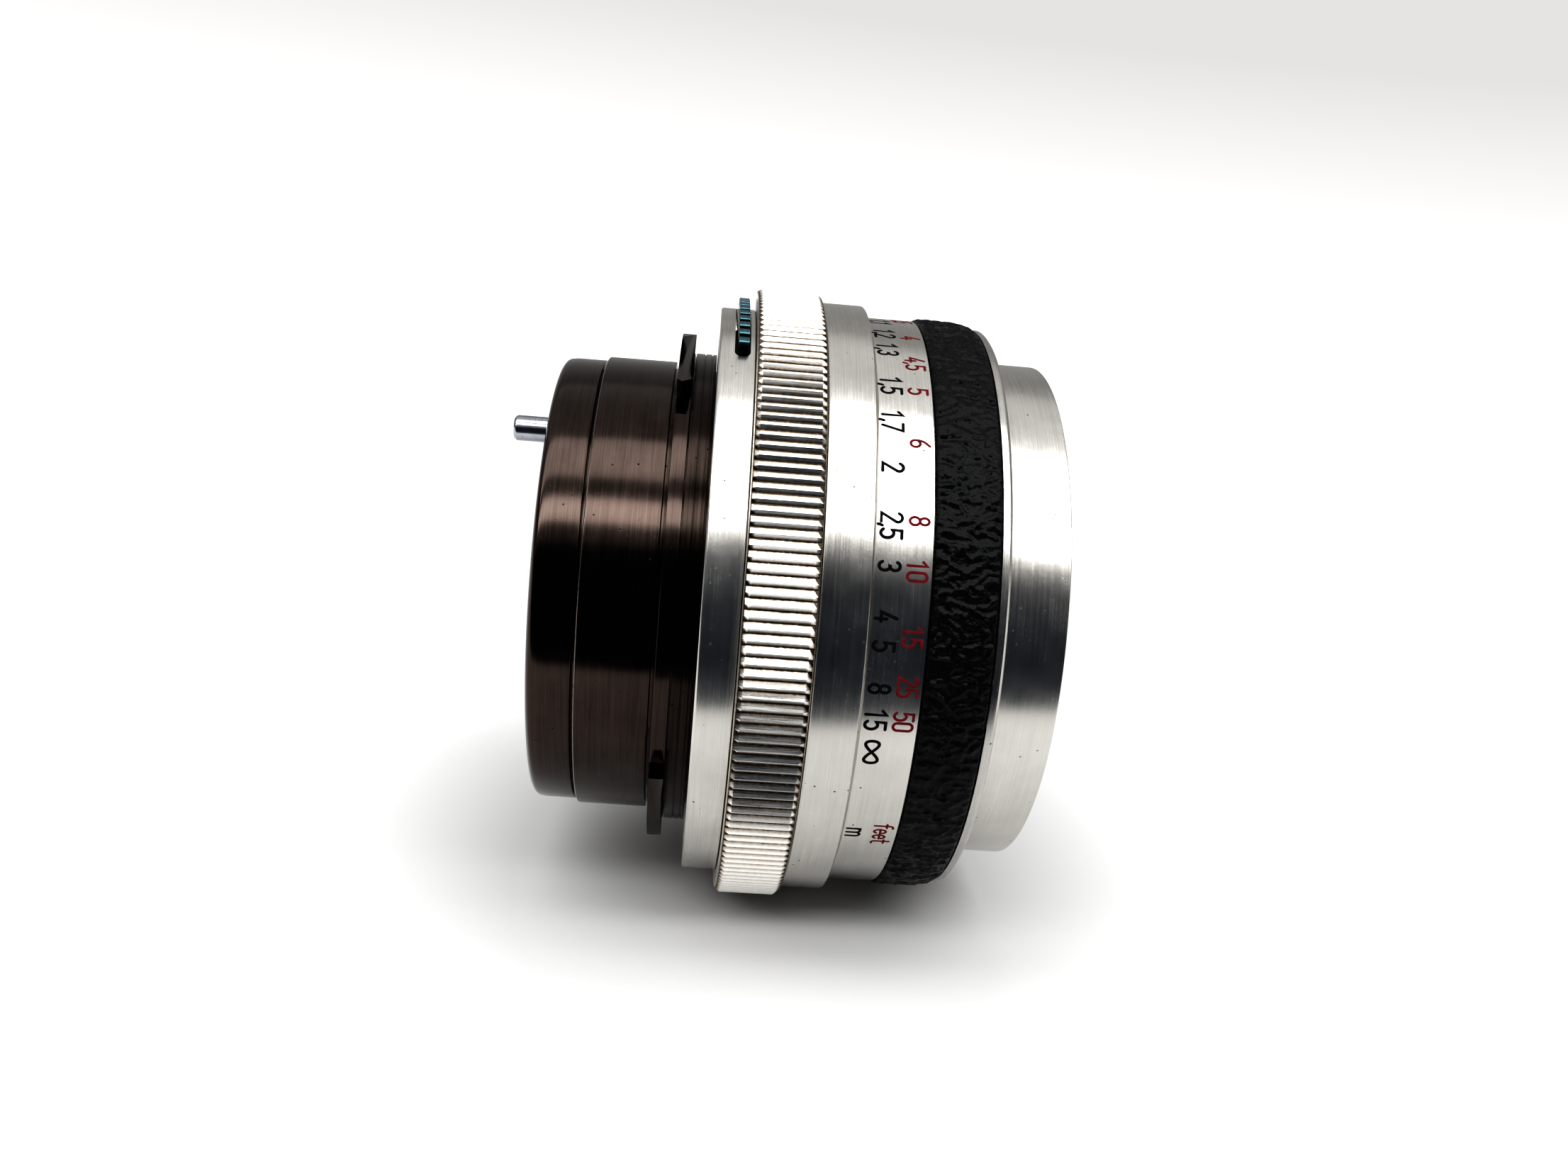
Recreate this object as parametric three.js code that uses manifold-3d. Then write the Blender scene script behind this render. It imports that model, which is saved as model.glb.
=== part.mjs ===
// A 50 mm bayonet-mount camera lens, taken apart into the pieces it is assembled from.
// Units are millimetres. The optical axis is +X, pointing to the front of the lens, and the
// origin is the centre of the mounting flange's face. The lens lies on its side, +Z up.
// Angles are degrees round +X, counted from the side that faces -Y and growing towards -Z.

import * as THREE from "three";
import * as BufferGeometryUtils from "three/addons/utils/BufferGeometryUtils.js";
import Module from "manifold-3d";

const wasm = await Module();
wasm.setup();

// ---- driving dimensions -------------------------------------------------------------------

const OUTER_SIDES = 36; // sides of the outer rings
const INNER_SIDES = 24; // sides of the cells inside
const GLASS_SIDES = 24; // sides of the lens elements
const SMALL_SIDES = 8; // sides of pins and screws

// radii of the outside, from the rear to the front
const CAP_R = 22.65;
const SLEEVE_R = 23.07;
const REGISTER_R = 24.1;
const LUG_R = 26.0;
const COLLAR_R = 28.9;
const APERTURE_R = 31.1;
const INDEX_R = 30.2;
const SCALE_R = 29.1;
const GRIP_R = 29.45;
const TRIM_R = 28.8;
const FILTER_R = 25.5;

// stations along the axis, from the rear to the front
const REAR_X = -15.3;
const CAP_FRONT_X = -11.1;
const SLEEVE_REAR_X = -10.85;
const SLEEVE_FRONT_X = -4.05;
const LUG_X = [-3.64, -2.25];
const REGISTER_X = [-2.15, -0.1];
const COLLAR_X = [0, 3.35];
const APERTURE_X = [3.45, 9.72];
const INDEX_X = [9.86, 14.1];
const SCALE_X = [14.22, 19.35];
const GRIP_X = [19.42, 25.3];
const TRIM_X = [25.38, 26.3];
const FRONT_X = 32.37;

// bayonet and rear bore
const REAR_HOLE_R = 17.2;
const SLEEVE_BORE_R = 21.2;
const SPIGOT_R = 22.4;
const LUG_COUNT = 3;
const LUG_SPAN = 31;
const FIRST_LUG_ANGLE = -75.5;

// housing tube and what turns on it
const HOUSING_R = 26.6;
const HOUSING_BORE_R = 25.3;
const HOUSING_X = [3.95, 14.0];
const RING_BORE_R = 26.85;

// stop-down pin, its circle and its angle
const PIN_CIRCLE_R = 19.4;
const PIN_ANGLE = -59;
const PIN_R = 1.2;
const PIN_TIP_X = -18.6;

// mode lever: the tab's span, and how far it moves
const TAB_ANGLES = [-99, -62.5];
const TAB_TRAVEL = 10;
const TAB_R = 30.0;

// iris: blades swing half as far as the aperture ring turns
const BLADE_COUNT = 8;
const APERTURE_TURN = 70;
const BLADE_RATIO = 0.5;
const PIVOT_R = 16.8;
const BLADE_INNER_R = 11.5;
const BLADE_OUTER_R = 17.7;
const BLADE_THICKNESS = 0.06;
const BLADE_PITCH = 4.8;
const BLADE_SPAN = [-6, 154];
const BLADE_X = 10.35;
const DRIVE_R = 14.9;
const DRIVE_ANGLE = 149;
const LEVER_ANGLE = 100;
const LEVER_R = 20.2;

// focusing: turn from rest to infinity and to the near limit
const FOCUS_TURN = [-171, 82];
const STOP_SPAN = 50;
const STOP_ANGLE = 0;

// ---- materials ----------------------------------------------------------------------------

const metal = (color, roughness) => new THREE.MeshStandardMaterial({ color, roughness, metalness: 1 });

const turnedAluminium = () => metal(0xc9c7c3, 0.32);
const knurledAluminium = () => metal(0xd6d4d0, 0.25);
const bronzedSteel = () => metal(0x3a2f29, 0.35);
const blackMetal = () => new THREE.MeshStandardMaterial({ color: 0x141414, roughness: 0.6, metalness: 0.4 });
const brass = () => metal(0xb08d4a, 0.4);
const steel = () => metal(0xa9a9a6, 0.3);
const bluedSteel = () => metal(0x2c4a52, 0.35);
const bladeSteel = () => metal(0x2b2b2d, 0.5);
const leatherette = () => new THREE.MeshStandardMaterial({ color: 0x16171a, roughness: 0.75, metalness: 0 });
const opticalGlass = () => new THREE.MeshStandardMaterial({ color: 0xd8e4ea, roughness: 0.02, metalness: 0 });

// ---- shape helpers ------------------------------------------------------------------------

const radians = THREE.MathUtils.degToRad;

// Takes a shape drawn in (u, v) and extruded along w to X = w, Y = -u, Z = -v.
const ALONG_AXIS = new THREE.Matrix4().set(0, 0, 1, 0, -1, 0, 0, 0, 0, -1, 0, 0, 0, 0, 0, 1);

function mesh(name, geometry, material) {
  const part = new THREE.Mesh(geometry, material);
  part.name = name;
  return part;
}

// A solid of revolution about the lens axis. The outline is a closed list of [x, r], going
// outward along the rear, forward along the outside and back along the bore.
function turned(outline, sides) {
  const points = [...outline, outline[0]].map(([x, r]) => new THREE.Vector2(r, x));
  return new THREE.LatheGeometry(points, sides).rotateZ(-Math.PI / 2);
}

// A plate between two stations, cut to a shape drawn across the axis.
function plate(shape, [rear, front]) {
  const geometry = new THREE.ExtrudeGeometry(shape, { depth: front - rear, bevelEnabled: false });
  return geometry.applyMatrix4(ALONG_AXIS).translate(rear, 0, 0);
}

function polar(r, angle) {
  return new THREE.Vector2(r * Math.cos(radians(angle)), r * Math.sin(radians(angle)));
}

// A piece of a ring, with straight facets about `step` degrees long.
function sector(stations, [innerR, outerR], [from, to], step = 6) {
  const count = Math.max(1, Math.round((to - from) / step));
  const angles = Array.from({ length: count + 1 }, (_, i) => from + ((to - from) * i) / count);
  const outside = angles.map((angle) => polar(outerR, angle));
  const inside = angles.map((angle) => polar(innerR, angle)).reverse();
  return plate(new THREE.Shape([...outside, ...inside]), stations);
}

// A block between two radii, of an even width, lying along the axis at one angle.
function block(stations, [innerR, outerR], width, angle) {
  const half = width / 2;
  const corners = [[innerR, -half], [outerR, -half], [outerR, half], [innerR, half]];
  const shape = new THREE.Shape(corners.map(([u, v]) => new THREE.Vector2(u, v)));
  return plate(shape, stations).rotateX(radians(angle));
}

// A round bar parallel to the axis.
function axialBar([rear, front], circleR, angle, r, sides = SMALL_SIDES) {
  const bar = new THREE.CylinderGeometry(r, r, front - rear, sides).rotateZ(-Math.PI / 2);
  return bar.translate((rear + front) / 2, -circleR, 0).rotateX(radians(angle));
}

// A round bar that points away from the axis.
function radialBar(x, [innerR, outerR], angle, r, sides = SMALL_SIDES) {
  const bar = new THREE.CylinderGeometry(r, r, outerR - innerR, sides);
  return bar.translate(x, -(innerR + outerR) / 2, 0).rotateX(radians(angle));
}

function toSolid(geometry) {
  const bare = geometry.clone();
  bare.deleteAttribute("normal");
  bare.deleteAttribute("uv");
  const merged = BufferGeometryUtils.mergeVertices(bare, 1e-4);
  const vertProperties = new Float32Array(merged.attributes.position.array);
  const triVerts = new Uint32Array(merged.index.array);
  return new wasm.Manifold(new wasm.Mesh({ numProp: 3, vertProperties, triVerts }));
}

function toGeometry(solid) {
  const { vertProperties, triVerts } = solid.getMesh();
  const geometry = new THREE.BufferGeometry();
  geometry.setAttribute("position", new THREE.BufferAttribute(vertProperties, 3));
  geometry.setIndex(new THREE.BufferAttribute(triVerts, 1));
  return geometry;
}

function cut(base, ...tools) {
  return toGeometry(tools.reduce((solid, tool) => solid.subtract(toSolid(tool)), toSolid(base)));
}

function join(base, ...pieces) {
  return toGeometry(pieces.reduce((solid, piece) => solid.add(toSolid(piece)), toSolid(base)));
}

function evenly(count, first) {
  return Array.from({ length: count }, (_, i) => first + (360 * i) / count);
}

// ---- rear end and bayonet -----------------------------------------------------------------

const CAP_SCREW_ANGLES = evenly(3, PIN_ANGLE + 60);
const CAP_SCREW_HEAD_X = -14.5;
const CAP_SCREW_TIP_X = -11.9;
const BUSH_R = 2.1;

function rearCap() {
  const body = turned([
    [REAR_X, REAR_HOLE_R], [REAR_X, CAP_R - 1.6], [REAR_X + 0.46, CAP_R - 0.47], [REAR_X + 1.6, CAP_R],
    [CAP_FRONT_X, CAP_R], [CAP_FRONT_X, 21.95], [-13.6, 21.95], [-13.6, REAR_HOLE_R],
  ], OUTER_SIDES);
  const heads = CAP_SCREW_ANGLES.map((angle) => axialBar([-16, -14.45], PIN_CIRCLE_R, angle, 1.65));
  const shanks = CAP_SCREW_ANGLES.map((angle) => axialBar([-15, -13], PIN_CIRCLE_R, angle, 0.9));
  const bushHole = axialBar([-16, -13], PIN_CIRCLE_R, PIN_ANGLE, BUSH_R + 0.1, 12);
  return mesh("rear_cap", cut(body, ...heads, ...shanks, bushHole), bronzedSteel());
}

function capScrew(angle, index) {
  const head = axialBar([REAR_X + 0.08, CAP_SCREW_HEAD_X], PIN_CIRCLE_R, angle, 1.5, 12);
  const shank = axialBar([CAP_SCREW_HEAD_X - 0.1, CAP_SCREW_TIP_X], PIN_CIRCLE_R, angle, 0.7);
  const slot = block([-16, -14.95], [PIN_CIRCLE_R - 2, PIN_CIRCLE_R + 2], 0.45, angle);
  return mesh(`cap_screw_${index + 1}`, cut(join(head, shank), slot), steel());
}

function bayonetSleeve() {
  const body = turned([
    [-13.4, REAR_HOLE_R + 0.2], [-13.4, 21.7], [SLEEVE_REAR_X, 21.7], [SLEEVE_REAR_X, SLEEVE_R],
    [SLEEVE_FRONT_X, SLEEVE_R], [SLEEVE_FRONT_X, SPIGOT_R], [0.9, SPIGOT_R], [0.9, SLEEVE_BORE_R],
    [-12.2, SLEEVE_BORE_R], [-12.2, REAR_HOLE_R + 0.2],
  ], OUTER_SIDES);
  const threads = CAP_SCREW_ANGLES.map((angle) => axialBar([-14, -11.5], PIN_CIRCLE_R, angle, 0.9));
  const bushHole = axialBar([-14, -11.5], PIN_CIRCLE_R, PIN_ANGLE, BUSH_R + 0.1, 12);
  return mesh("bayonet_sleeve", cut(body, ...threads, bushHole), bronzedSteel());
}

function bayonetLugRing() {
  const ring = turned([
    [LUG_X[0], SPIGOT_R + 0.1], [LUG_X[0], REGISTER_R], [LUG_X[1], REGISTER_R], [LUG_X[1], SPIGOT_R + 0.1],
  ], OUTER_SIDES);
  const lugs = evenly(LUG_COUNT, FIRST_LUG_ANGLE).map((middle) => {
    return sector(LUG_X, [REGISTER_R - 1, LUG_R], [middle - LUG_SPAN / 2, middle + LUG_SPAN / 2]);
  });
  return mesh("bayonet_lug_ring", join(ring, ...lugs), bronzedSteel());
}

function registerRing() {
  return mesh("register_ring", turned([
    [REGISTER_X[0], SPIGOT_R + 0.1], [REGISTER_X[0], REGISTER_R],
    [REGISTER_X[1], REGISTER_R], [REGISTER_X[1], SPIGOT_R + 0.1],
  ], OUTER_SIDES), steel());
}

const BAFFLE_X = [-6.2, -5.2];

function rearBaffle() {
  const disc = turned([
    [BAFFLE_X[0], 14.6], [BAFFLE_X[0], SLEEVE_BORE_R - 0.1],
    [BAFFLE_X[1], SLEEVE_BORE_R - 0.1], [BAFFLE_X[1], 14.6],
  ], OUTER_SIDES);
  return mesh("rear_baffle", cut(disc, axialBar([-7, -4], PIN_CIRCLE_R, PIN_ANGLE, 1.4, 12)), blackMetal());
}

// ---- stop-down pin ------------------------------------------------------------------------

function offsetTube(stations, innerR, outerR) {
  const outside = axialBar(stations, PIN_CIRCLE_R, PIN_ANGLE, outerR, 12);
  const bore = axialBar([stations[0] - 1, stations[1] + 1], PIN_CIRCLE_R, PIN_ANGLE, innerR, 12);
  return cut(outside, bore);
}

function pinBush() {
  return mesh("pin_bush", offsetTube([REAR_X, -12.3], 1.35, BUSH_R), brass());
}

function stopDownPin() {
  return mesh("stop_down_pin", axialBar([PIN_TIP_X, -4.2], PIN_CIRCLE_R, PIN_ANGLE, PIN_R, 12), steel());
}

function pinClip() {
  return mesh("pin_clip", offsetTube([-12.1, -11.6], PIN_R + 0.06, 1.68), steel());
}

function pinSpring() {
  return mesh("pin_spring", offsetTube([-11.5, BAFFLE_X[0] - 0.1], PIN_R + 0.15, 1.6), steel());
}

// ---- collar and mode lever ----------------------------------------------------------------

const RIM_BORE_R = 27.1;
const REGISTER_STEP = 0.2; // the seat that meets the camera stands this proud, outside the lugs

function modeCollar() {
  const body = turned([
    [REGISTER_STEP, SPIGOT_R + 0.1], [REGISTER_STEP, LUG_R + 0.3], [COLLAR_X[0], LUG_R + 0.3],
    [COLLAR_X[0], COLLAR_R - 0.15], [COLLAR_X[0] + 0.15, COLLAR_R], [COLLAR_X[1], COLLAR_R],
    [COLLAR_X[1], RIM_BORE_R], [1.1, RIM_BORE_R], [1.1, 24.3], [3.85, 24.3], [3.85, SPIGOT_R + 0.1],
  ], OUTER_SIDES);
  const slotAngles = [TAB_ANGLES[0] - TAB_TRAVEL - 2, TAB_ANGLES[1] + 1.5];
  const slot = sector([1.45, 2.95], [RIM_BORE_R - 0.4, COLLAR_R + 1], slotAngles);
  const threads = HOUSING_SCREW_ANGLES.map((angle) => axialBar([2.2, 4.5], HOUSING_SCREW_R, angle, 0.65));
  return mesh("mode_collar", cut(body, slot, ...threads), turnedAluminium());
}

function modeRing() {
  const outline = [[1.3, 24.5], [1.3, 26.75], [3.1, 26.75], [3.1, 24.5]];
  return mesh("mode_ring", turned(outline, OUTER_SIDES), brass());
}

function modeTab() {
  return mesh("mode_tab", sector([1.76, 2.73], [26.85, TAB_R], TAB_ANGLES), bluedSteel());
}

// ---- fixed housing ------------------------------------------------------------------------

const HOUSING_SCREW_R = 23.4;
const HOUSING_SCREW_ANGLES = evenly(3, 20);
const KEY_ANGLE = -100;
const KEY_SCREW_X = 9.0;
const FORK_X = [5.7, 7.0];

function mainHousing() {
  const body = turned([
    [HOUSING_X[0], SPIGOT_R + 0.1], [HOUSING_X[0], HOUSING_R], [HOUSING_X[1], HOUSING_R],
    [HOUSING_X[1], HOUSING_BORE_R], [4.9, HOUSING_BORE_R], [4.9, SPIGOT_R + 0.1],
  ], OUTER_SIDES);
  const forkAngles = [LEVER_ANGLE - 8, LEVER_ANGLE + APERTURE_TURN + 8];
  const forkSlot = sector([FORK_X[0] - 0.25, FORK_X[1] + 0.25], [24, 28], forkAngles);
  const holes = HOUSING_SCREW_ANGLES.map((angle) => axialBar([3, 6], HOUSING_SCREW_R, angle, 0.75));
  const keyHole = radialBar(KEY_SCREW_X, [24, 28], KEY_ANGLE, 0.95);
  return mesh("main_housing", cut(body, forkSlot, ...holes, keyHole), turnedAluminium());
}

function housingScrew(angle, index) {
  const head = axialBar([4.95, 5.4], HOUSING_SCREW_R, angle, 0.8);
  const shank = axialBar([2.5, 5.0], HOUSING_SCREW_R, angle, 0.5);
  return mesh(`housing_screw_${index + 1}`, join(head, shank), steel());
}

function guideKey() {
  const foot = block([7.6, 13.8], [22.9, 25.0], 3, KEY_ANGLE);
  const tongue = block([13.7, 17.6], [22.9, 24.3], 3, KEY_ANGLE);
  const hole = radialBar(KEY_SCREW_X, [22, 26], KEY_ANGLE, 0.95);
  return mesh("guide_key", cut(join(foot, tongue), hole), steel());
}

function guideKeyScrew() {
  return mesh("guide_key_screw", radialBar(KEY_SCREW_X, [23.0, 26.5], KEY_ANGLE, 0.75), steel());
}

// ---- index ring ---------------------------------------------------------------------------

const SKIRT_POCKET_R = 28.35;
const INDEX_SCREW_X = 13.1;
const INDEX_SCREW_ANGLES = [100, 170, 240];
const CLICK_ANGLE = 140;
const CLICK_R = 29.25;

function indexRing() {
  const body = turned([
    [INDEX_X[0], HOUSING_R + 0.15], [INDEX_X[0], INDEX_R - 0.2], [INDEX_X[0] + 0.15, INDEX_R],
    [INDEX_X[1] - 0.15, INDEX_R], [INDEX_X[1], INDEX_R - 0.2], [INDEX_X[1], SKIRT_POCKET_R],
    [10.9, SKIRT_POCKET_R], [10.9, HOUSING_R + 0.15],
  ], OUTER_SIDES);
  const screwHoles = INDEX_SCREW_ANGLES.map((angle) => radialBar(INDEX_SCREW_X, [27.8, 31], angle, 0.6));
  const ballHole = axialBar([9, 11.3], CLICK_R, CLICK_ANGLE, 0.75);
  return mesh("index_ring", cut(body, ...screwHoles, ballHole), turnedAluminium());
}

function indexScrew(angle, index) {
  return mesh(`index_screw_${index + 1}`, radialBar(INDEX_SCREW_X, [27.75, 29.95], angle, 0.5), steel());
}

function clickBall() {
  const ball = new THREE.SphereGeometry(0.62, SMALL_SIDES, 6).translate(10.6, -CLICK_R, 0);
  return mesh("click_ball", ball.rotateX(radians(CLICK_ANGLE)), steel());
}

// The moving stop and the fixed one share what the focusing turn leaves of the circle.
function focusStop() {
  const angles = [STOP_ANGLE - STOP_SPAN / 2, STOP_ANGLE + STOP_SPAN / 2];
  return mesh("focus_stop", sector([11.1, 12.0], [26.95, 28.1], angles), brass());
}

function infinityStop() {
  const gap = 0.6;
  const from = STOP_ANGLE + FOCUS_TURN[1] + STOP_SPAN / 2 + gap;
  const to = STOP_ANGLE + FOCUS_TURN[0] - STOP_SPAN / 2 - gap + 360;
  return mesh("infinity_stop", sector([11.0, 11.9], [26.95, 28.1], [from, to]), brass());
}

// ---- aperture ring ------------------------------------------------------------------------

function apertureRing() {
  return mesh("aperture_ring", turned([
    [APERTURE_X[0], RING_BORE_R], [APERTURE_X[0], APERTURE_R - 0.75], [APERTURE_X[0] + 0.5, APERTURE_R],
    [APERTURE_X[1] - 0.5, APERTURE_R], [APERTURE_X[1], APERTURE_R - 0.75], [APERTURE_X[1], RING_BORE_R],
  ], OUTER_SIDES), knurledAluminium());
}

function apertureFork() {
  const arm = block(FORK_X, [19.6, 26.5], 5.2, LEVER_ANGLE);
  const notch = block([FORK_X[0] - 1, FORK_X[1] + 1], [18, 21.1], 1.5, LEVER_ANGLE);
  return mesh("aperture_fork", cut(arm, notch), steel());
}

// ---- focusing ring ------------------------------------------------------------------------

const HELICOID_R = 28.15;
const THREAD_R = 24.6;
const THREAD_FRONT_X = 19.2;

function focusHelicoid() {
  return mesh("focus_helicoid", turned([
    [12.1, RING_BORE_R], [12.1, HELICOID_R], [12.5, HELICOID_R], [12.5, 27.5], [13.7, 27.5],
    [13.7, HELICOID_R], [25.0, HELICOID_R], [25.0, FILTER_R + 0.15],
    [THREAD_FRONT_X, FILTER_R + 0.15], [THREAD_FRONT_X, THREAD_R], [14.3, THREAD_R], [14.3, RING_BORE_R],
  ], OUTER_SIDES), brass());
}

function focusScaleRing() {
  return mesh("focus_scale_ring", turned([
    [SCALE_X[0], HELICOID_R + 0.1], [SCALE_X[0], SCALE_R - 0.2], [SCALE_X[0] + 0.2, SCALE_R],
    [SCALE_X[1], SCALE_R], [SCALE_X[1], 28.6], [GRIP_X[1], 28.6], [GRIP_X[1], HELICOID_R + 0.1],
  ], OUTER_SIDES), turnedAluminium());
}

function gripBand() {
  return mesh("grip_band", turned([
    [GRIP_X[0], 28.68], [GRIP_X[0], GRIP_R - 0.15], [GRIP_X[0] + 0.5, GRIP_R], [GRIP_X[0] + 4, GRIP_R - 0.08],
    [GRIP_X[1] - 0.4, GRIP_R - 0.4], [GRIP_X[1], GRIP_R - 0.62], [GRIP_X[1], 28.68],
  ], OUTER_SIDES), leatherette());
}

function trimRing() {
  return mesh("trim_ring", turned([
    [TRIM_X[0], FILTER_R + 0.15], [TRIM_X[0], TRIM_R], [TRIM_X[0] + 0.45, TRIM_R - 0.05],
    [TRIM_X[1], TRIM_R - 0.75], [TRIM_X[1], FILTER_R + 0.15],
  ], OUTER_SIDES), turnedAluminium());
}

// ---- sliding barrel -----------------------------------------------------------------------

const BARREL_R = 24.4;
const BARREL_BORE_R = 22.0;
const BARREL_REAR_X = 11.8;
const NECK_R = 22.85;
const NECK_FRONT_X = 27.1;
const SEAT_X = [24.3, 25.4];

function barrelHelicoid() {
  const body = turned([
    [BARREL_REAR_X, BARREL_BORE_R], [BARREL_REAR_X, BARREL_R], [23.8, BARREL_R], [23.8, NECK_R],
    [NECK_FRONT_X, NECK_R], [NECK_FRONT_X, BARREL_BORE_R], [SEAT_X[1], BARREL_BORE_R],
    [SEAT_X[1], 17.6], [SEAT_X[0], 17.6], [SEAT_X[0], BARREL_BORE_R],
  ], OUTER_SIDES);
  const keyway = block([11, 22.7], [21, 25], 3.4, KEY_ANGLE);
  return mesh("barrel_helicoid", cut(body, keyway), brass());
}

function filterRing() {
  return mesh("filter_ring", turned([
    [24.0, NECK_R + 0.1], [24.0, FILTER_R], [FRONT_X - 0.25, FILTER_R], [FRONT_X, FILTER_R - 0.25],
    [FRONT_X, FILTER_R - 1.05], [27.3, FILTER_R - 1.05], [27.3, NECK_R + 0.1],
  ], OUTER_SIDES), turnedAluminium());
}

function nameRing() {
  return mesh("name_ring", turned([
    [26.6, 15.9], [26.6, 16.6], [27.4, 17.9], [27.4, 24.3], [28.0, 24.3], [28.0, 17.4], [27.0, 15.9],
  ], INNER_SIDES), blackMetal());
}

function frontCell() {
  return mesh("front_cell", turned([
    [13.6, 10.0], [13.6, 18.7], [16.2, 18.7], [16.2, 17.4], [25.5, 17.4], [25.5, 21.85], [26.5, 21.85],
    [26.5, 15.55], [21.5, 15.55], [21.5, 12.65], [14.15, 12.65], [14.15, 10.0],
  ], INNER_SIDES), blackMetal());
}

function simpleRing(name, [rear, front], [innerR, outerR], material) {
  const outline = [[rear, innerR], [rear, outerR], [front, outerR], [front, innerR]];
  return mesh(name, turned(outline, INNER_SIDES), material);
}

function rearCell() {
  return mesh("rear_cell", turned([
    [-4.6, 11.75], [-4.6, 13.2], [-3.0, 14.2], [9.15, 14.2], [9.15, 10.95], [2.1, 10.95],
    [2.1, 10.2], [-1.4, 10.2], [-1.4, 11.75],
  ], INNER_SIDES), blackMetal());
}

// ---- glass --------------------------------------------------------------------------------

// Height of a spherical surface behind its vertex at radius r. A positive curve bulges forward.
function sag(curve, r) {
  return curve === 0 ? 0 : curve - Math.sign(curve) * Math.sqrt(curve * curve - r * r);
}

// One surface from the axis to the rim: curved to `clear`, then flat.
function surface({ vertex, curve, clear }, rim) {
  const steps = curve === 0 ? 0 : 3;
  const edge = clear ?? rim;
  const points = [[vertex, 0]];
  for (let i = 1; i <= steps; i += 1) {
    const r = (edge * i) / steps;
    points.push([vertex - sag(curve, r), r]);
  }
  if (edge < rim || steps === 0) {
    points.push([points.at(-1)[0], rim]);
  }
  return points;
}

function glass(name, rim, front, rear) {
  const outline = [...surface(rear, rim), ...surface(front, rim).reverse()];
  const points = outline.map(([x, r]) => new THREE.Vector2(r, x));
  const geometry = new THREE.LatheGeometry(points, GLASS_SIDES).rotateZ(-Math.PI / 2);
  return mesh(name, geometry, opticalGlass());
}

function elements() {
  return [
    glass("front_element", 15.4, { vertex: 26.8, curve: 36 }, { vertex: 22.5, curve: 150 }),
    glass("second_element", 12.5, { vertex: 22.2, curve: 22 }, { vertex: 17.7, curve: 0 }),
    glass("third_element", 12.5, { vertex: 17.65, curve: 0 }, { vertex: 16.6, curve: 20, clear: 9.5 }),
    glass("fourth_element", 10.8, { vertex: 6.2, curve: -15, clear: 9 }, { vertex: 5.1, curve: 0 }),
    glass("fifth_element", 10.8, { vertex: 5.05, curve: 0 }, { vertex: -0.3, curve: -22 }),
    glass("rear_element", 11.6, { vertex: -0.65, curve: 60 }, { vertex: -4.25, curve: -38 }),
  ];
}

// ---- iris ---------------------------------------------------------------------------------

const CAM_X = [12.75, 13.3];
const CAM_RADII = [12.0, 18.3];
const PIN_HOLE_R = 0.62;
const BLADE_PIN_R = 0.45;

function irisHousing() {
  const body = turned([
    [9.3, BLADE_INNER_R - 0.1], [9.3, 19.3], [13.45, 19.3], [13.45, 18.75],
    [10.2, 18.75], [10.2, BLADE_INNER_R - 0.1],
  ], INNER_SIDES);
  const leverAngles = [LEVER_ANGLE - 5, LEVER_ANGLE + APERTURE_TURN + 5];
  const leverSlot = sector([12.55, 14], [18, 20], leverAngles);
  const holes = evenly(BLADE_COUNT, 0).map((angle) => axialBar([9, 11], PIVOT_R, angle, PIN_HOLE_R));
  return mesh("iris_housing", cut(body, leverSlot, ...holes), blackMetal());
}

// Where a blade's drive pin is after the blade has swung, seen from the cam ring.
function drivePinInCam(swing) {
  const pivot = polar(PIVOT_R, 0);
  const pin = polar(DRIVE_R, DRIVE_ANGLE).rotateAround(pivot, radians(swing));
  return pin.rotateAround(new THREE.Vector2(0, 0), -radians(swing / BLADE_RATIO));
}

// A slot as wide as the drive pin's hole, along the path that keeps the ratio constant.
function camSlot(angle) {
  const steps = 6;
  const fullSwing = APERTURE_TURN * BLADE_RATIO;
  const path = Array.from({ length: steps + 1 }, (_, i) => drivePinInCam((fullSwing * i) / steps));
  const lowest = path.reduce((a, b) => (a.length() < b.length() ? a : b));
  const highest = path.reduce((a, b) => (a.length() > b.length() ? a : b));
  const width = PIN_HOLE_R + 0.35;
  const across = path.map((point) => radians(DRIVE_ANGLE) - point.angle());
  const sway = Math.max(...across.map(Math.abs)) * highest.length();
  const radii = [lowest.length() - width, highest.length() + width];
  const slot = block([CAM_X[0] - 1, CAM_X[1] + 1], radii, 2 * (width + sway / 2), 0);
  const middle = (lowest.angle() + highest.angle()) / 2;
  return slot.rotateX(middle + radians(angle));
}

function irisCamRing() {
  const ring = turned([
    [CAM_X[0], CAM_RADII[0]], [CAM_X[0], CAM_RADII[1]], [CAM_X[1], CAM_RADII[1]], [CAM_X[1], CAM_RADII[0]],
  ], INNER_SIDES);
  const arm = sector(CAM_X, [17.9, LEVER_R + 0.6], [LEVER_ANGLE - 2.5, LEVER_ANGLE + 2.5], 5);
  const slots = evenly(BLADE_COUNT, 0).map(camSlot);
  return mesh("iris_cam_ring", cut(join(ring, arm), ...slots), brass());
}

function irisLever() {
  return mesh("iris_lever", axialBar([3.0, CAM_X[0] - 0.05], LEVER_R, LEVER_ANGLE, 0.55), steel());
}

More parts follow.
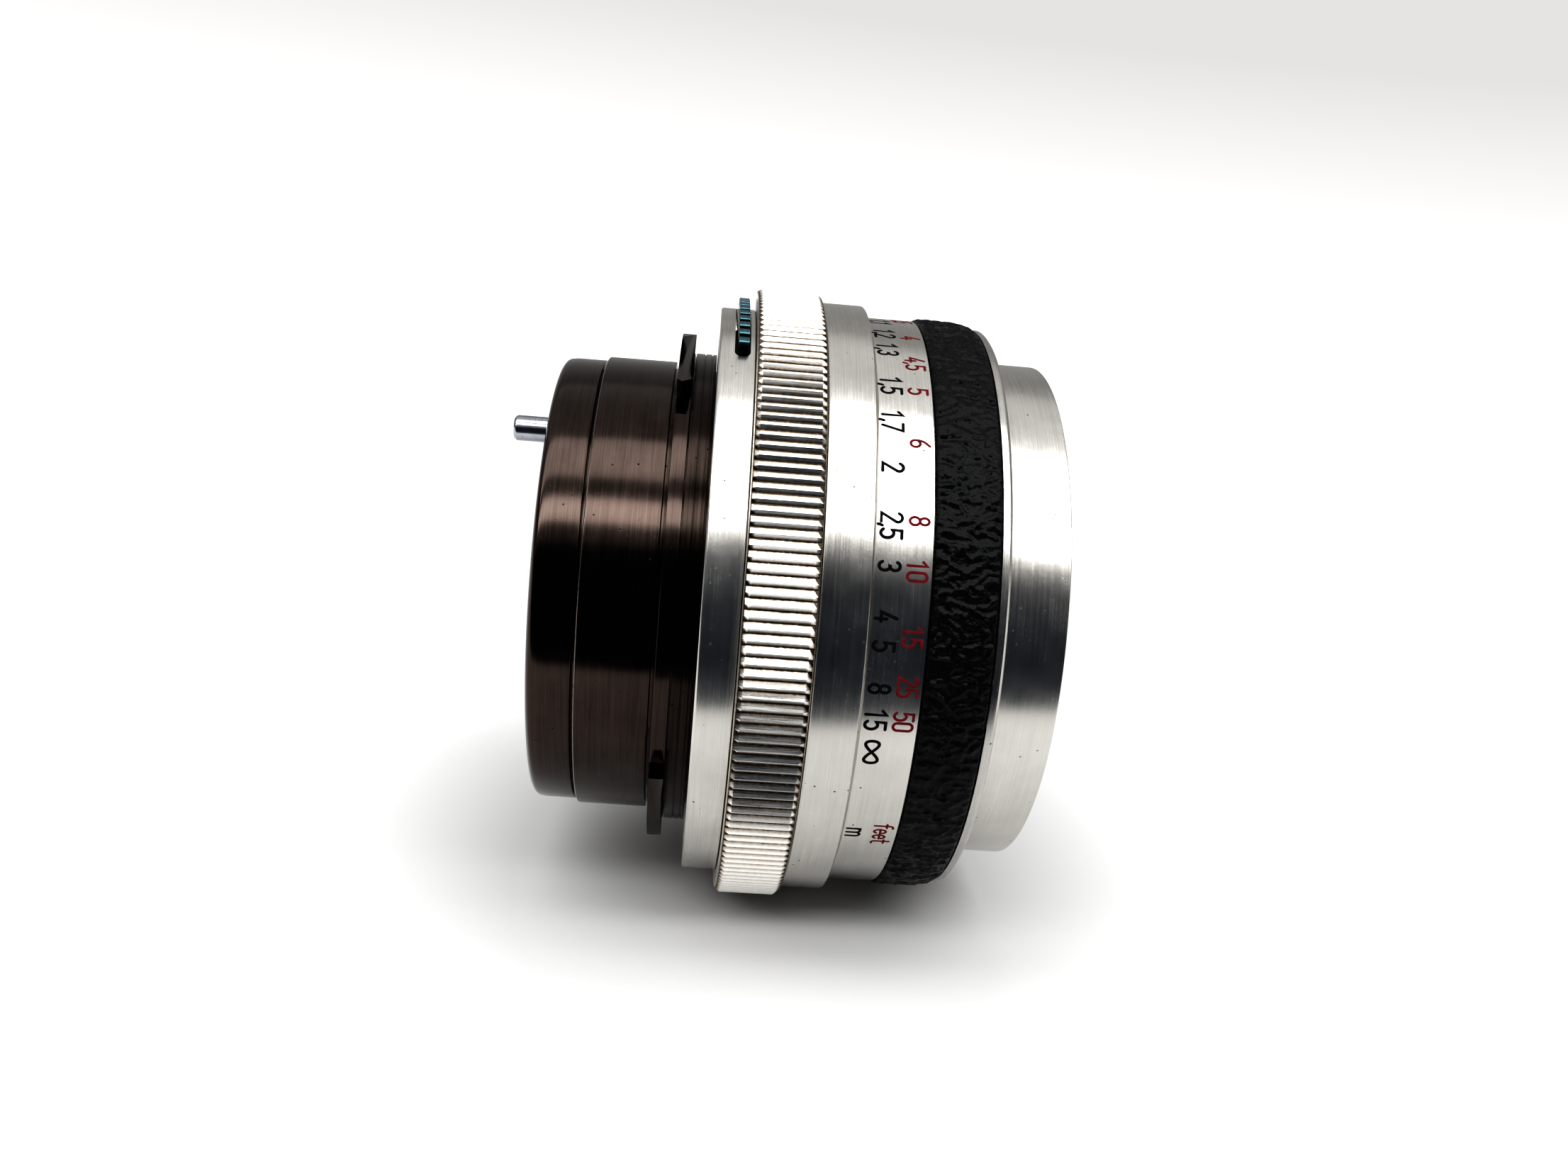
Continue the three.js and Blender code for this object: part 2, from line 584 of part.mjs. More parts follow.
// A crescent that climbs as it goes round, so that each blade clears the next.
function bladeShell() {
  const steps = 12;
  const [from, to] = BLADE_SPAN;
  const tipHalf = 1.3;
  const taper = (angle, start) => THREE.MathUtils.clamp((angle - start) / (to - start), 0, 1);
  const corners = [];
  for (let i = 0; i <= steps; i += 1) {
    const angle = from + ((to - from) * i) / steps;
    const x = BLADE_X + (BLADE_PITCH * (angle - from)) / 360;
    const innerR = BLADE_INNER_R + taper(angle, 125) * (DRIVE_R - tipHalf - BLADE_INNER_R);
    const outerR = BLADE_OUTER_R + taper(angle, 100) * (DRIVE_R + tipHalf - BLADE_OUTER_R);
    const section = [[innerR, 0], [outerR, 0], [outerR, BLADE_THICKNESS], [innerR, BLADE_THICKNESS]];
    for (const [r, lift] of section) {
      const point = polar(r, angle);
      corners.push(x + lift, -point.x, -point.y);
    }
  }
  const faces = [0, 1, 2, 0, 2, 3];
  for (let i = 0; i < steps; i += 1) {
    for (let side = 0; side < 4; side += 1) {
      const a = 4 * i + side;
      const b = 4 * i + ((side + 1) % 4);
      faces.push(a, a + 4, b + 4, a, b + 4, b);
    }
  }
  const end = 4 * steps;
  faces.push(end, end + 2, end + 1, end, end + 3, end + 2);
  const shell = new THREE.BufferGeometry();
  shell.setAttribute("position", new THREE.Float32BufferAttribute(corners, 3));
  shell.setIndex(faces);
  return shell;
}

function irisBlade(angle, index) {
  const tipX = BLADE_X + (BLADE_PITCH * (DRIVE_ANGLE - BLADE_SPAN[0])) / 360;
  const pivot = axialBar([9.4, BLADE_X + 0.12], PIVOT_R, 0, BLADE_PIN_R);
  const drive = axialBar([tipX + 0.02, CAM_X[1] - 0.05], DRIVE_R, DRIVE_ANGLE, BLADE_PIN_R);
  const blade = join(bladeShell(), pivot, drive).rotateX(radians(angle));
  return mesh(`iris_blade_${index + 1}`, blade, bladeSteel());
}

// ---- assembly -----------------------------------------------------------------------------

const lens = new THREE.Group();

lens.add(rearCap(), bayonetSleeve(), bayonetLugRing(), registerRing(), rearBaffle());
lens.add(...CAP_SCREW_ANGLES.map(capScrew));
lens.add(pinBush(), stopDownPin(), pinClip(), pinSpring());
lens.add(modeCollar(), modeRing(), modeTab());
lens.add(mainHousing(), ...HOUSING_SCREW_ANGLES.map(housingScrew), guideKey(), guideKeyScrew());
lens.add(indexRing(), ...INDEX_SCREW_ANGLES.map(indexScrew), clickBall(), infinityStop());
lens.add(apertureRing(), apertureFork());
lens.add(focusHelicoid(), focusScaleRing(), gripBand(), trimRing(), focusStop());
lens.add(barrelHelicoid(), filterRing(), nameRing(), frontCell(), rearCell());
lens.add(simpleRing("front_retainer", [23.85, 25.0], [14.6, 15.45], blackMetal()));
lens.add(simpleRing("spacer_ring", [19.0, 21.4], [11.6, 12.5], blackMetal()));
lens.add(simpleRing("rear_retainer", [-4.3, -2.95], [10.7, 11.6], blackMetal()));
lens.add(...elements());
lens.add(irisHousing(), irisCamRing(), irisLever(), ...evenly(BLADE_COUNT, 0).map(irisBlade));

export default lens;
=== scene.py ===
import math

import bmesh
import bpy
import numpy as np
from mathutils import Matrix, Vector, noise

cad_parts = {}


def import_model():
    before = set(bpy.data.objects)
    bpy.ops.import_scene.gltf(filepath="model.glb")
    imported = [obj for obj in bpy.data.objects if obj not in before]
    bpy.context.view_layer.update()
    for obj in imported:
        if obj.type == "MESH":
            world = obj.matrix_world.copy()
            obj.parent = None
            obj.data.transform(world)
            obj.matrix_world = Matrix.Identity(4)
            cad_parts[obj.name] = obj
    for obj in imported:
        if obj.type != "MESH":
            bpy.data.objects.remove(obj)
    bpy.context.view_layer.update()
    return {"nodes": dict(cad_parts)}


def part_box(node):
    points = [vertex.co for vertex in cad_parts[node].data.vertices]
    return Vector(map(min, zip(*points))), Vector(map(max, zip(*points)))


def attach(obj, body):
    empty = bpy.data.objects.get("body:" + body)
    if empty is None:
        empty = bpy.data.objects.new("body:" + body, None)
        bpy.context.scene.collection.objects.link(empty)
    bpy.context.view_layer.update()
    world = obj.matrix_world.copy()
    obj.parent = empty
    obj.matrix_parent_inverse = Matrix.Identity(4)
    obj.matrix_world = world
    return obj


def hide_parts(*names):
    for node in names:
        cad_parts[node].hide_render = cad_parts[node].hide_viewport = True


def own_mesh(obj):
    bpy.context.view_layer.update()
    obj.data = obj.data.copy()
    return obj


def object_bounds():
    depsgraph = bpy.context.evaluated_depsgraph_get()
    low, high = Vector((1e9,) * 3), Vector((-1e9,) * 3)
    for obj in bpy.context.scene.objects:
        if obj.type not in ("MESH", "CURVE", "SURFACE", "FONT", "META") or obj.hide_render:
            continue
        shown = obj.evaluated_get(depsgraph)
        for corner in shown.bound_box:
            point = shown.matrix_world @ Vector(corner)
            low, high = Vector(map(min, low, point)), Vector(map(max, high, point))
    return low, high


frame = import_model()

# The lens lies on its side: its axis is +X, towards the front, and +Z is up. Shapes are given
# in millimetres along the axis (x) and away from it (r), and in degrees round it (phi),
# counted from the side that faces -Y and growing towards -Z.

MM = 0.001
SEGMENTS = 288
SMALL_SEGMENTS = 48
CORNER_STEPS = 3  # faces in the small curve that rounds a corner
SHARP_ANGLE = 32  # an edge that turns more than this, in degrees, isn't shaded smooth
GAP = 0.02  # keeps a fine piece's skin just clear of its neighbour's
VIEW_TILT = 14.0  # how far above level the camera stands, in degrees


def stations(node):
    low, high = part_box(node)
    return low.x / MM, high.x / MM


def outer_radius(node):
    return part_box(node)[1].z / MM


# ---- mesh helpers --------------------------------------------------------------------------


def place(x, r, phi):
    angle = math.radians(phi)
    return (x * MM, -r * MM * math.cos(angle), -r * MM * math.sin(angle))


def shade(mesh, angle=SHARP_ANGLE):
    mesh.shade_smooth()
    mesh.set_sharp_from_angle(angle=math.radians(angle))
    return mesh


def solid(name, points, faces, angle=SHARP_ANGLE):
    mesh = bpy.data.meshes.new(name)
    mesh.from_pydata([tuple(p) for p in points], [], faces)
    mesh.validate()
    piece = bpy.data.objects.new(name, shade(mesh, angle))
    bpy.context.scene.collection.objects.link(piece)
    return piece


def rounded(outline):
    """A closed outline, with each corner given as (x, r, setback) made a small curve."""
    points = []
    for i, (x, r, *setback) in enumerate(outline):
        corner = np.array([x, r], float)
        if not setback:
            points.append(corner)
            continue
        before = np.array(outline[i - 1][:2]) - corner
        after = np.array(outline[(i + 1) % len(outline)][:2]) - corner
        reach = min(setback[0], 0.45 * np.linalg.norm(before), 0.45 * np.linalg.norm(after))
        start = corner + before / np.linalg.norm(before) * reach
        end = corner + after / np.linalg.norm(after) * reach
        for t in np.linspace(0, 1, CORNER_STEPS + 1):
            points.append((1 - t) ** 2 * start + 2 * t * (1 - t) * corner + t**2 * end)
    return points


def grid_faces(across, around):
    """Faces of a grid that closes both ways, its points listed outline by outline."""
    faces = []
    for j in range(around):
        for i in range(across):
            a = j * across + i
            b = j * across + (i + 1) % across
            c = ((j + 1) % around) * across + (i + 1) % across
            d = ((j + 1) % around) * across + i
            faces.append((a, d, c, b))
    return faces


def turned(profile, segments):
    return [place(x, r, 360 * j / segments) for j in range(segments) for x, r in profile]


def lathe(name, outline, segments=SEGMENTS):
    """A ring turned from an outline that goes out at the rear, forward, and back at the bore."""
    profile = rounded(outline)
    return solid(name, turned(profile, segments), grid_faces(len(profile), segments))


def lathe_solid(name, outline, segments=SMALL_SEGMENTS):
    """A turned solid whose outline starts and ends on the axis."""
    profile = rounded(outline)[1:-1]
    count = len(profile)
    points = turned(profile, segments)
    faces = []
    rear_centre, front_centre = len(points), len(points) + 1
    for j in range(segments):
        k = (j + 1) % segments
        for i in range(count - 1):
            faces.append((j * count + i, k * count + i, k * count + i + 1, j * count + i + 1))
        faces.append((rear_centre, k * count, j * count))
        faces.append((front_centre, j * count + count - 1, k * count + count - 1))
    points.append((outline[0][0] * MM, 0, 0))
    points.append((outline[-1][0] * MM, 0, 0))
    return solid(name, points, faces)


def side_faces(count):
    """Faces between two outlines of as many points each."""
    return [(i, (i + 1) % count, (i + 1) % count + count, i + count) for i in range(count)]


def slab(name, shape, inner, outer):
    """A closed solid whose outline is drawn in (x, phi) and stands from one radius to another."""
    count = len(shape)
    points = [place(x, r, phi) for r in (inner, outer) for x, phi in shape]
    faces = [tuple(reversed(range(count))), tuple(range(count, 2 * count)), *side_faces(count)]
    return outward(solid(name, points, faces))


def outward(piece):
    work = bmesh.new()
    work.from_mesh(piece.data)
    bmesh.ops.recalc_face_normals(work, faces=work.faces)
    work.to_mesh(piece.data)
    work.free()
    return piece


def settle(piece):
    """Turns a piece's modifiers into its mesh."""
    graph = bpy.context.evaluated_depsgraph_get()
    piece.data = bpy.data.meshes.new_from_object(piece.evaluated_get(graph))
    piece.modifiers.clear()
    shade(piece.data)
    return piece


def combine(piece, others, operation):
    for other in others:
        step = piece.modifiers.new("combine", "BOOLEAN")
        step.operation = operation
        step.object = other
        step.solver = "EXACT"
    settle(piece)
    for other in others:
        bpy.data.objects.remove(other)
    return piece


def bevelled(piece, width):
    step = piece.modifiers.new("bevel", "BEVEL")
    step.width = width * MM
    step.segments = 2
    step.limit_method = "ANGLE"
    step.angle_limit = math.radians(35)
    return settle(piece)


def offset(piece, circle_r, phi):
    """Moves a piece made on the axis out to a circle, without turning it off parallel."""
    turn = Matrix.Rotation(math.radians(phi), 4, "X")
    piece.data.transform(turn @ Matrix.Translation((0, -circle_r * MM, 0)))
    return piece


def pointing_out(piece, x, phi):
    """Stands a piece made along +X from the axis on end, pointing away from the lens axis."""
    turn = Matrix.Rotation(math.radians(phi), 4, "X")
    stand = Matrix.Rotation(math.radians(-90), 4, "Z")
    piece.data.transform(turn @ Matrix.Translation((x * MM, 0, 0)) @ stand)
    return piece


def cut_slot(screw, x_range, y_range, z_range):
    """Cuts a driver's slot across the head of a screw that is still on the axis."""
    points = [(x * MM, y * MM, z * MM) for x in x_range for y in y_range for z in z_range]
    faces = [(0, 1, 3, 2), (4, 6, 7, 5), (0, 4, 5, 1), (2, 3, 7, 6), (0, 2, 6, 4), (1, 5, 7, 3)]
    return combine(screw, [outward(solid("slot", points, faces))], "DIFFERENCE")


def keep(piece, body, look, slot, *nodes):
    """Puts a finished piece on its body with its material."""
    piece.data.materials.clear()
    piece.data.materials.append(look)
    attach(piece, body)
    if nodes:
        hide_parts(*nodes)


# ---- material helpers ----------------------------------------------------------------------


def blank_material(name):
    look = bpy.data.materials.new(name)
    look.use_nodes = True
    return look, look.node_tree, look.node_tree.nodes["Principled BSDF"]


def feed(tree, node, inputs):
    """Gives each named input of a node its value, or the output that it follows."""
    for key, value in inputs.items():
        if isinstance(value, bpy.types.NodeSocket):
            tree.links.new(value, node.inputs[key])
        else:
            node.inputs[key].default_value = value
    return node


def add(tree, kind, inputs, **settings):
    made = tree.nodes.new(kind)
    for key, value in settings.items():
        setattr(made, key, value)
    return feed(tree, made, inputs)


def calc(tree, operation, *values):
    made = add(tree, "ShaderNodeMath", dict(enumerate(values)), operation=operation)
    return made.outputs[0]


def plus(tree, value, other, weight):
    """value + weight * other"""
    return calc(tree, "MULTIPLY_ADD", other, weight, value)


def apart(tree, value, other):
    return calc(tree, "ABSOLUTE", calc(tree, "SUBTRACT", value, other))


def remap(tree, value, low, high, to_low, to_high):
    names = ("Value", "From Min", "From Max", "To Min", "To Max")
    inputs = dict(zip(names, (value, low, high, to_low, to_high)))
    return add(tree, "ShaderNodeMapRange", inputs).outputs[0]


MIX_FACTOR, MIX_FIRST, MIX_SECOND, MIX_RESULT = 0, 6, 7, 2  # a Mix node's sockets for colours


def blend_colours(tree, factor, first, second):
    colours = [c if isinstance(c, bpy.types.NodeSocket) else (*c, 1) for c in (first, second)]
    inputs = {MIX_FACTOR: factor, MIX_FIRST: colours[0], MIX_SECOND: colours[1]}
    return add(tree, "ShaderNodeMix", inputs, data_type="RGBA").outputs[MIX_RESULT]


def own_coordinates(tree):
    return tree.nodes.new("ShaderNodeTexCoord").outputs["Object"]


def emboss(tree, shader, height, strength, depth):
    """Makes a height show as relief, at most depth mm deep."""
    inputs = {"Height": height, "Strength": strength, "Distance": depth * MM}
    bump = add(tree, "ShaderNodeBump", inputs)
    feed(tree, shader, {"Normal": bump.outputs[0]})


def place_nodes(tree):
    """The point's place in mm, its three parts, and its distance from the lens axis."""
    coordinates = own_coordinates(tree)
    scaled = add(tree, "ShaderNodeVectorMath", {0: coordinates, "Scale": 1 / MM}, operation="SCALE")
    split = add(tree, "ShaderNodeSeparateXYZ", {0: scaled.outputs[0]})
    x, y, z = split.outputs
    flat = add(tree, "ShaderNodeCombineXYZ", {"Y": y, "Z": z})
    r = add(tree, "ShaderNodeVectorMath", {0: flat.outputs[0]}, operation="LENGTH").outputs["Value"]
    return scaled.outputs[0], x, y, z, r


def noise_node(tree, vector, scale, detail=2.0, rough=0.5):
    inputs = {"Vector": vector, "Scale": scale, "Detail": detail, "Roughness": rough}
    return add(tree, "ShaderNodeTexNoise", inputs).outputs["Fac"]


def tool_marks(tree, pitch):
    """Noise drawn out round the lens axis, as a lathe tool leaves it."""
    spread = 9.0
    point, x, y, z, r = place_nodes(tree)
    along = calc(tree, "MULTIPLY", plus(tree, x, r, 0.8), 1 / pitch)
    side = calc(tree, "MULTIPLY", y, 1 / spread)
    up = calc(tree, "MULTIPLY", z, 1 / spread)
    vector = add(tree, "ShaderNodeCombineXYZ", {"X": along, "Y": side, "Z": up}).outputs[0]
    return noise_node(tree, vector, 1.0, 3.0, 0.6), point, x, r


def thin_lines(tree, value, width):
    """1 on the thin curves where a noise crosses its middle, 0 elsewhere."""
    return remap(tree, apart(tree, value, 0.5), 0.0, width, 1.0, 0.0)


RELIEF = 0.02  # how deep tool marks and scratches show on metal


def turned_metal(
    name, light, dark, rough, marks=0.12, pits=1.0, lathe_pitch=0.07, painted_hollow_shade=None, painted_edge_highlight=None,
):
    """Turned metal: lathe lines, dull patches, pits and scratches. The last two arguments, (r,
    colour) and (x, colour), paint shade on what lies deeper than that radius and a highlight, with
    some wear, along the edge at that x."""
    look, tree, shader = blank_material(name)
    lines, point, x, r = tool_marks(tree, lathe_pitch)
    patches = noise_node(tree, point, 0.22, 4.0, 0.62)
    fine = noise_node(tree, point, 2.6, 3.0, 0.6)
    cells = add(tree, "ShaderNodeTexVoronoi", {"Vector": point, "Scale": 0.8})
    spot = remap(tree, cells.outputs["Distance"], 0.055, 0.095, pits, 0.0)
    worn = calc(tree, "MULTIPLY", spot, remap(tree, patches, 0.44, 0.56, 0.0, 1.0))
    stretched = add(tree, "ShaderNodeMapping", {
        "Vector": point, "Scale": (0.9, 0.22, 0.22), "Rotation": (0.3, 0.5, 0.2),
    })
    scratch = thin_lines(tree, noise_node(tree, stretched.outputs[0], 0.8, 1.0, 0.3), 0.0035)
    scratch = calc(tree, "MULTIPLY", scratch, remap(tree, fine, 0.52, 0.6, 0.0, 0.8))
    mixed = plus(tree, calc(tree, "MULTIPLY", lines, 0.6), patches, 0.4)
    colour = blend_colours(tree, remap(tree, mixed, 0.36, 0.64, 0.0, 1.0), dark, light)
    pit_colour = tuple(0.22 * c for c in dark)
    colour = blend_colours(tree, worn, colour, pit_colour)
    # painted shade: what lies deeper than the given radius takes the dark colour
    if painted_hollow_shade:
        shade_r, shade_colour = painted_hollow_shade
        depth = remap(tree, r, shade_r - 0.12, shade_r + 0.12, 1.0, 0.0)
        colour = blend_colours(tree, depth, colour, shade_colour)
    # painted highlight, with some wear: a brighter band along the edge at the given x
    if painted_edge_highlight:
        highlight_x, highlight_colour = painted_edge_highlight
        near = remap(tree, apart(tree, x, highlight_x), 0.03, 0.06, 1.0, 0.0)
        edge_highlight = calc(tree, "MULTIPLY", near, remap(tree, fine, 0.3, 0.5, 0.2, 1.0))
        colour = blend_colours(tree, edge_highlight, colour, highlight_colour)
    dullness = plus(tree, calc(tree, "MULTIPLY", lines, 0.5), patches, 0.5)
    dullness = remap(tree, dullness, 0.3, 0.7, rough * 0.80, rough * 1.26)
    dullness = plus(tree, dullness, worn, 0.3)
    feed(tree, shader, {"Base Color": colour, "Roughness": dullness, "Metallic": 1.0})
    height = plus(tree, plus(tree, plus(tree, lines, fine, 0.35), scratch, -1.2), worn, -2.0)
    emboss(tree, shader, height, marks, RELIEF)
    return look


def knurled_metal(name, clean, floor_reflection_brown, groove_floor_colour, crest_r, depth):
    """Knurling cut along the axis: clean crests, a brown below them that is a painted reflection of
    the shaded floor with some dirt, and darker groove floors.
    """
    look, tree, shader = blank_material(name)
    point, x, y, z, r = place_nodes(tree)
    along, side, up = [calc(tree, "MULTIPLY", v, k) for v, k in ((x, 0.25), (y, 9.0), (z, 9.0))]
    lengthwise = add(tree, "ShaderNodeCombineXYZ", {"X": along, "Y": side, "Z": up}).outputs[0]
    cuts = noise_node(tree, lengthwise, 1.0, 3.0, 0.6)
    ragged = noise_node(tree, point, 3.0, 3.0, 0.6)
    level = plus(tree, r, calc(tree, "SUBTRACT", ragged, 0.5), 0.10)
    above_floor = apart(tree, level, crest_r - depth)
    # painted reflection: the lower flanks take a brown that stands in for the shaded floor seen in
    # them, with some dirt
    painted_floor_reflection = remap(tree, above_floor, 0.2 * depth, 0.7 * depth, 1.0, 0.0)
    colour = blend_colours(tree, painted_floor_reflection, clean, floor_reflection_brown)
    # the groove floors are made darker
    colour = blend_colours(tree, remap(tree, above_floor, 0.012, 0.045, 1.0, 0.0), colour, groove_floor_colour)
    dullness = remap(tree, cuts, 0.3, 0.7, 0.22, 0.38)
    feed(tree, shader, {"Base Color": colour, "Roughness": dullness, "Metallic": 1.0})
    emboss(tree, shader, plus(tree, cuts, ragged, 0.5), 0.3, RELIEF)
    return look


def painted(name, colour, rough, specular):
    """Paint or anodising: a colour with slight mottling, and an orange-peel surface."""
    mottling = 0.25
    look, tree, shader = blank_material(name)
    point = place_nodes(tree)[0]
    cloud = noise_node(tree, point, 0.7, 4.0, 0.6)
    grain = noise_node(tree, point, 9.0, 2.0, 0.5)
    darker = tuple(c * (1 - mottling) for c in colour)
    lighter = tuple(c * (1 + mottling) for c in colour)
    clouded = remap(tree, cloud, 0.35, 0.65, 0.0, 1.0)
    feed(tree, shader, {
        "Base Color": blend_colours(tree, clouded, darker, lighter),
        "Roughness": remap(tree, grain, 0.3, 0.7, rough * 0.8, min(1.0, rough * 1.2)),
        "Specular IOR Level": specular,
    })
    emboss(tree, shader, grain, 0.4, 0.01)
    return look


def coated_glass():
    look, tree, shader = blank_material("coated_glass")
    point = place_nodes(tree)[0]
    smear = noise_node(tree, point, 0.3, 4.0, 0.6)
    feed(tree, shader, {
        "Base Color": blend_colours(tree, smear, (0.90, 0.95, 1.0), (0.97, 0.95, 1.0)),
        "Roughness": remap(tree, smear, 0.4, 0.75, 0.005, 0.045),
        "Transmission Weight": 1.0,
        "IOR": 1.62,
    })
    return look


def leather():
    look, tree, shader = blank_material("leatherette")
    point = place_nodes(tree)[0]
    grain = noise_node(tree, point, 3.2, 5.0, 0.65)
    cells = add(tree, "ShaderNodeTexVoronoi", {"Vector": point, "Scale": 3.4})
    worn = noise_node(tree, point, 0.25, 3.0, 0.6)
    black, charcoal = (0.0009, 0.0009, 0.0011), (0.0034, 0.0037, 0.0044)
    colour = blend_colours(tree, remap(tree, grain, 0.3, 0.7, 0.0, 1.0), black, charcoal)
    dust = remap(tree, plus(tree, grain, worn, 0.5), 0.88, 1.0, 0.0, 0.4)
    colour = blend_colours(tree, dust, colour, (0.016, 0.018, 0.022))
    dullness = remap(tree, grain, 0.3, 0.7, 0.16, 0.34)
    feed(tree, shader, {"Base Color": colour, "Roughness": dullness, "Specular IOR Level": 0.10})
    emboss(tree, shader, plus(tree, cells.outputs["Distance"], grain, 1.2), 0.5, 0.07)
    return look


# ---- looks ---------------------------------------------------------------------------------

KNURL_DEPTH = 0.30
SLEEVE_REAR_X = -10.85  # where the sleeve's outer skin starts, just clear of the cap
ALUMINIUM = turned_metal(
    "turned_aluminium", (0.62, 0.605, 0.57), (0.51, 0.495, 0.465), 0.23, marks=0.075,
)
BRIGHT_ALUMINIUM = turned_metal(
    "satin_aluminium", (0.66, 0.645, 0.61), (0.52, 0.505, 0.475), 0.23, marks=0.09,
)
DULL_ALUMINIUM = turned_metal(
    "worn_aluminium", (0.52, 0.505, 0.48), (0.39, 0.375, 0.355), 0.26, marks=0.12,
)
KNURLED = knurled_metal(
    "knurled_aluminium", (0.95, 0.935, 0.89), (0.40, 0.34, 0.28), (0.035, 0.027, 0.02),
    outer_radius("aperture_ring"), KNURL_DEPTH,
)
# the sleeve's rear edge gets a painted highlight, with some wear
BRONZED = turned_metal(
    "bronzed_mount", (0.056, 0.042, 0.036), (0.030, 0.0225, 0.0195), 0.155,
    marks=0.16, lathe_pitch=0.11, painted_edge_highlight=(SLEEVE_REAR_X + 0.05, (0.22, 0.19, 0.175)),
)
REGISTER = turned_metal(
    "bronzed_register", (0.032, 0.024, 0.020), (0.012, 0.009, 0.008), 0.18,
    marks=0.25, lathe_pitch=0.11,
)
STEEL = turned_metal("steel", (0.62, 0.62, 0.63), (0.42, 0.42, 0.44), 0.2, pits=0.4)
BRIGHT_STEEL = turned_metal("bright_steel", (0.48, 0.50, 0.53), (0.30, 0.31, 0.34), 0.19, pits=1.0)
BRASS = turned_metal("brass", (0.55, 0.40, 0.19), (0.33, 0.23, 0.10), 0.3)
# the tab's notches are given painted shade
BLUED = turned_metal(
    "blued_steel", (0.10, 0.205, 0.235), (0.04, 0.105, 0.125), 0.2, marks=0.2, lathe_pitch=0.2,
    painted_hollow_shade=(29.72, (0.006, 0.02, 0.028)),
)
BLADE = turned_metal("blade_steel", (0.10, 0.10, 0.105), (0.06, 0.06, 0.065), 0.4, pits=0.2)
BLACK = painted("black_metal", (0.008, 0.008, 0.009), 0.45, specular=0.25)
LEATHER = leather()
GLASS = coated_glass()
BLACK_INK = painted("black_filling", (0.003, 0.003, 0.0035), 0.75, specular=0.06)
RED_INK = painted("red_filling", (0.085, 0.004, 0.007), 0.7, specular=0.08)


# ---- rear end ------------------------------------------------------------------------------

PIN_CIRCLE_R = 19.4
PIN_PHI = -59.0
SCREW_PHIS = [PIN_PHI + 60 + 120 * i for i in range(3)]
CAP_R = outer_radius("rear_cap")
SLEEVE_R = outer_radius("bayonet_sleeve")
REGISTER_R = outer_radius("register_ring")
REAR_X, CAP_FRONT_X = stations("rear_cap")
REAR_HOLE_R = 17.2
BUSH_HOLE_R = 2.2
TUBE_R = 22.5  # bore of the rings that sit on the mount's tube


def peg(name, x_range, r, phi):
    """A round cutter on the circle of the cap's screws and the pin."""
    rear, front = x_range
    outline = [(rear, 0), (rear, r), (front, r), (front, 0)]
    return offset(lathe_solid(name, outline), PIN_CIRCLE_R, phi)


def rear_cap():
    body = lathe("fine_rear_cap", [
        (REAR_X, REAR_HOLE_R, 0.15), (REAR_X, CAP_R - 0.75, 0.3), (REAR_X + 0.4, CAP_R - 0.12, 0.3),
        (REAR_X + 1.3, CAP_R, 0.3), (CAP_FRONT_X - 0.05, CAP_R, 0.12), (CAP_FRONT_X, 21.95, 0.05),
        (-13.6, 21.95), (-13.6, REAR_HOLE_R, 0.1),
    ])
    pockets = [peg("pocket", (REAR_X - 1, -14.45), 1.65, phi) for phi in SCREW_PHIS]
    shafts = [peg("shaft", (-14.9, -13), 0.9, phi) for phi in SCREW_PHIS]
    bush = peg("bush_hole", (REAR_X - 1, -13), BUSH_HOLE_R, PIN_PHI)
    combine(body, [*pockets, *shafts, bush], "DIFFERENCE")
    keep(body, "housing", BRONZED, "bronzed_mount", "rear_cap")
    for number, phi in enumerate(SCREW_PHIS, 1):
        cap_screw(number, phi)


def cap_screw(number, phi):
    rear, head_r, shank_r = REAR_X + 0.08, 1.5, 0.7
    under_head, front = -14.5, -11.9
    screw = lathe_solid(f"fine_cap_screw_{number}", [
        (rear, 0), (rear, head_r - 0.25), (rear + 0.12, head_r, 0.12), (under_head, head_r),
        (under_head, shank_r), (front, shank_r, 0.1), (front, 0),
    ])
    cut_slot(screw, (rear - 0.2, rear + 0.27), (2.0, -2.0), (-0.23, 0.23))
    screw.data.transform(Matrix.Rotation(math.radians(25 + 70 * number), 4, "X"))
    offset(screw, PIN_CIRCLE_R, phi)
    keep(screw, "housing", STEEL, "steel", f"cap_screw_{number}")


def sleeve():
    rear, front, tube_front = SLEEVE_REAR_X, -4.05, 0.9
    spigot_r, tube_r, bore_r, hole_r = 21.7, 22.4, 21.2, REAR_HOLE_R + 0.2
    body = lathe("fine_bayonet_sleeve", [
        (-13.4, hole_r), (-13.4, spigot_r), (rear, spigot_r), (rear, SLEEVE_R - 0.12),
        (rear + 0.09, SLEEVE_R - 0.02, 0.04), (front, SLEEVE_R, 0.15), (front, tube_r, 0.05),
        (tube_front, tube_r), (tube_front, bore_r), (-12.2, bore_r), (-12.2, hole_r),
    ])
    bush = peg("bush_hole", (-14, -11.5), BUSH_HOLE_R, PIN_PHI)
    combine(body, [bush], "DIFFERENCE")
    keep(body, "housing", BRONZED, "bronzed_mount", "bayonet_sleeve")


LUG_PHIS = [-75.5 + 120 * i for i in range(3)]
LUG_HALF_SPAN = 15.5


